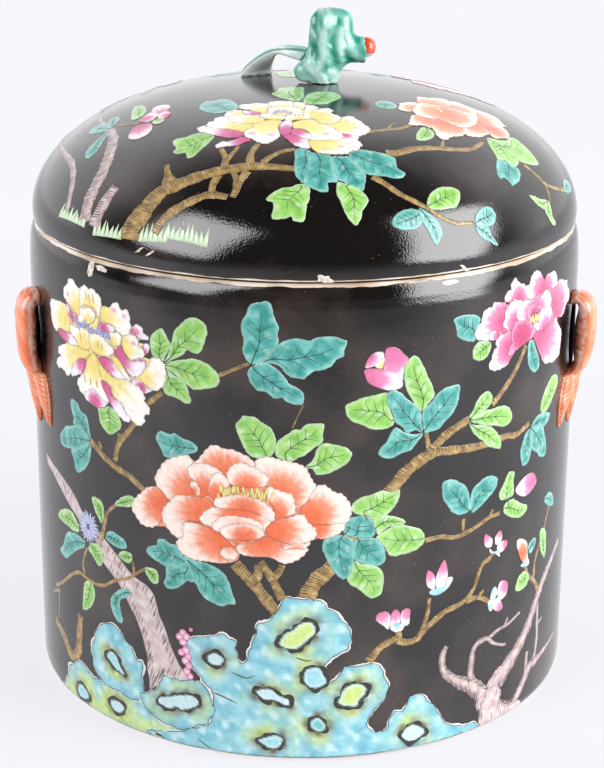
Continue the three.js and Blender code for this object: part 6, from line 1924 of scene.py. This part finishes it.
class JAR_OT_studio(bpy.types.Operator):
    """Floor, lights and camera"""

    bl_idname = "jar.studio"
    bl_label = "Set up the studio"

    def execute(self, context):
        size = context.scene.jar_sizes.floor_size
        bpy.ops.mesh.primitive_plane_add(size=size, location=(0, 0, -0.0005))
        floor = context.object
        floor.name = "studio_floor"
        floor.data.materials.append(lit_paper())
        sky()
        # Each lamp: azimuth from the front, elevation, distance, width, height, tilt, power
        for name, azimuth, elevation, distance, width, height, tilt, power in (
            ("left softbox", -48, 28, 1.3, 0.74, 1.02, -12, 14),
            ("right softbox", 63, 22, 1.3, 0.84, 1.3, -16, 28),
        ):
            turn, rise = math.radians(azimuth), math.radians(elevation)
            away = Vector((math.sin(turn) * math.cos(rise), -math.cos(turn) * math.cos(rise), math.sin(rise)))
            bpy.ops.object.light_add(type="AREA", location=away * distance + Vector((0, 0, 0.12)))
            lamp = context.object
            lamp.name = name
            lamp.data.shape = "RECTANGLE"
            lamp.data.size, lamp.data.size_y = width, height
            lamp.data.energy = power
            facing = (-away).to_track_quat("-Z", "Y").to_matrix()
            lamp.rotation_euler = (facing @ Matrix.Rotation(math.radians(tilt), 3, "Z")).to_euler()
        camera()
        context.scene.view_settings.view_transform = "Standard"
        return {"FINISHED"}


def lit_paper():
    """Pale paper that glows evenly, and fades towards the table's near edge."""
    paper = fired("studio paper", 0.9)
    nodes, links, shader = nodes_of(paper)
    shader.inputs["Base Color"].default_value = (*linear(112, 112, 116), 1)
    shader.inputs["Specular IOR Level"].default_value = 0.0
    shader.inputs["Emission Color"].default_value = (*linear(250, 250, 255), 1)
    place, parts = added(nodes, "TexCoord"), added(nodes, "SeparateXYZ")
    fade = added(nodes, "ValToRGB")
    stops(fade, (0.1, [0.1] * 3), (1.0, [0.9] * 3), (0.2, [0.72] * 3), (0.55, [0.85] * 3))
    span = added(nodes, "MapRange", From_Min=-1.0, From_Max=2.2)
    links.new(place.outputs["Object"], parts.inputs["Vector"])
    links.new(parts.outputs["Y"], span.inputs["Value"])
    links.new(span.outputs["Result"], fade.inputs["Fac"])
    links.new(fade.outputs["Color"], shader.inputs["Emission Strength"])
    return paper


def sky():
    """A studio that is white behind the jar, and dark above and before it."""
    world = bpy.data.worlds.new("studio")
    world.use_nodes = True
    nodes, links = world.node_tree.nodes, world.node_tree.links
    place, parts = added(nodes, "TexCoord"), added(nodes, "SeparateXYZ")
    behind = added(nodes, "MapRange", From_Min=-0.15, From_Max=0.45)
    high = added(nodes, "MapRange", From_Min=0.98, From_Max=0.6)
    behind.interpolation_type = high.interpolation_type = "SMOOTHSTEP"
    both = added(nodes, "Math")
    both.operation = "MULTIPLY"
    ramp = added(nodes, "ValToRGB")
    stops(ramp, (0.0, (0.02, 0.02, 0.022)), (1.0, (1.0, 1.0, 1.02)))
    links.new(place.outputs["Generated"], parts.inputs["Vector"])
    links.new(parts.outputs["Y"], behind.inputs["Value"])
    links.new(parts.outputs["Z"], high.inputs["Value"])
    links.new(behind.outputs["Result"], both.inputs[0])
    links.new(high.outputs["Result"], both.inputs[1])
    links.new(both.outputs["Value"], ramp.inputs["Fac"])
    links.new(ramp.outputs["Color"], nodes["Background"].inputs["Color"])
    nodes["Background"].inputs["Strength"].default_value = 1.4
    bpy.context.scene.world = world


def camera():
    """The photograph's view, fitted to the jar's rim, foot and sides."""
    lens = bpy.data.cameras.new("camera")
    holder = bpy.data.objects.new("camera", lens)
    bpy.context.scene.collection.objects.link(holder)
    radius = JAR_RADIUS * MM
    holder.location = (0, -CAMERA_DISTANCE * radius, CAMERA_HEIGHT * radius)
    turn = Matrix.Rotation(math.radians(90 - CAMERA_PITCH), 3, "X")
    holder.rotation_euler = (turn @ Matrix.Rotation(math.radians(CAMERA_ROLL), 3, "Z")).to_euler()
    lens.sensor_fit = "AUTO"
    lens.sensor_width = SENSOR_WIDTH
    lens.lens = FOCAL_LENGTH / IMAGE_HEIGHT * SENSOR_WIDTH
    lens.shift_x = (IMAGE_WIDTH / 2 - CENTRE_X) / IMAGE_HEIGHT
    bpy.context.scene.camera = holder


OPERATORS = (JAR_OT_studio, JAR_OT_body, JAR_OT_cover, JAR_OT_handles, JAR_OT_finial, JAR_OT_rocks, JAR_OT_boughs,
             JAR_OT_leaves, JAR_OT_peonies)


class JAR_PT_maker(bpy.types.Panel):
    """The jar's sizes, colours and steps"""

    bl_idname = "JAR_PT_maker"
    bl_label = "Covered porcelain jar"
    bl_space_type = "VIEW_3D"
    bl_region_type = "UI"
    bl_category = "Jar"

    def draw(self, context):
        for group in (context.scene.jar_sizes, context.scene.jar_colours):
            box = self.layout.box()
            for name in group.__annotations__:
                box.prop(group, name)
        for operator in OPERATORS:
            self.layout.operator(operator.bl_idname)


CLASSES = (JarSizes, JarColours, *OPERATORS, JAR_PT_maker)


def register():
    for cls in CLASSES:
        bpy.utils.register_class(cls)
    bpy.types.Scene.jar_sizes = PointerProperty(type=JarSizes)
    bpy.types.Scene.jar_colours = PointerProperty(type=JarColours)


def unregister():
    del bpy.types.Scene.jar_colours
    del bpy.types.Scene.jar_sizes
    for cls in reversed(CLASSES):
        bpy.utils.unregister_class(cls)


def main():
    register()
    bpy.ops.object.select_all(action="DESELECT")
    bpy.ops.jar.studio()
    bpy.ops.jar.body()
    bpy.ops.jar.cover()
    bpy.ops.jar.handles()
    bpy.ops.jar.finial()
    bpy.ops.jar.rocks()
    bpy.ops.jar.boughs()
    bpy.ops.jar.leaves()
    bpy.ops.jar.peonies()


if __name__ == "__main__":
    main()
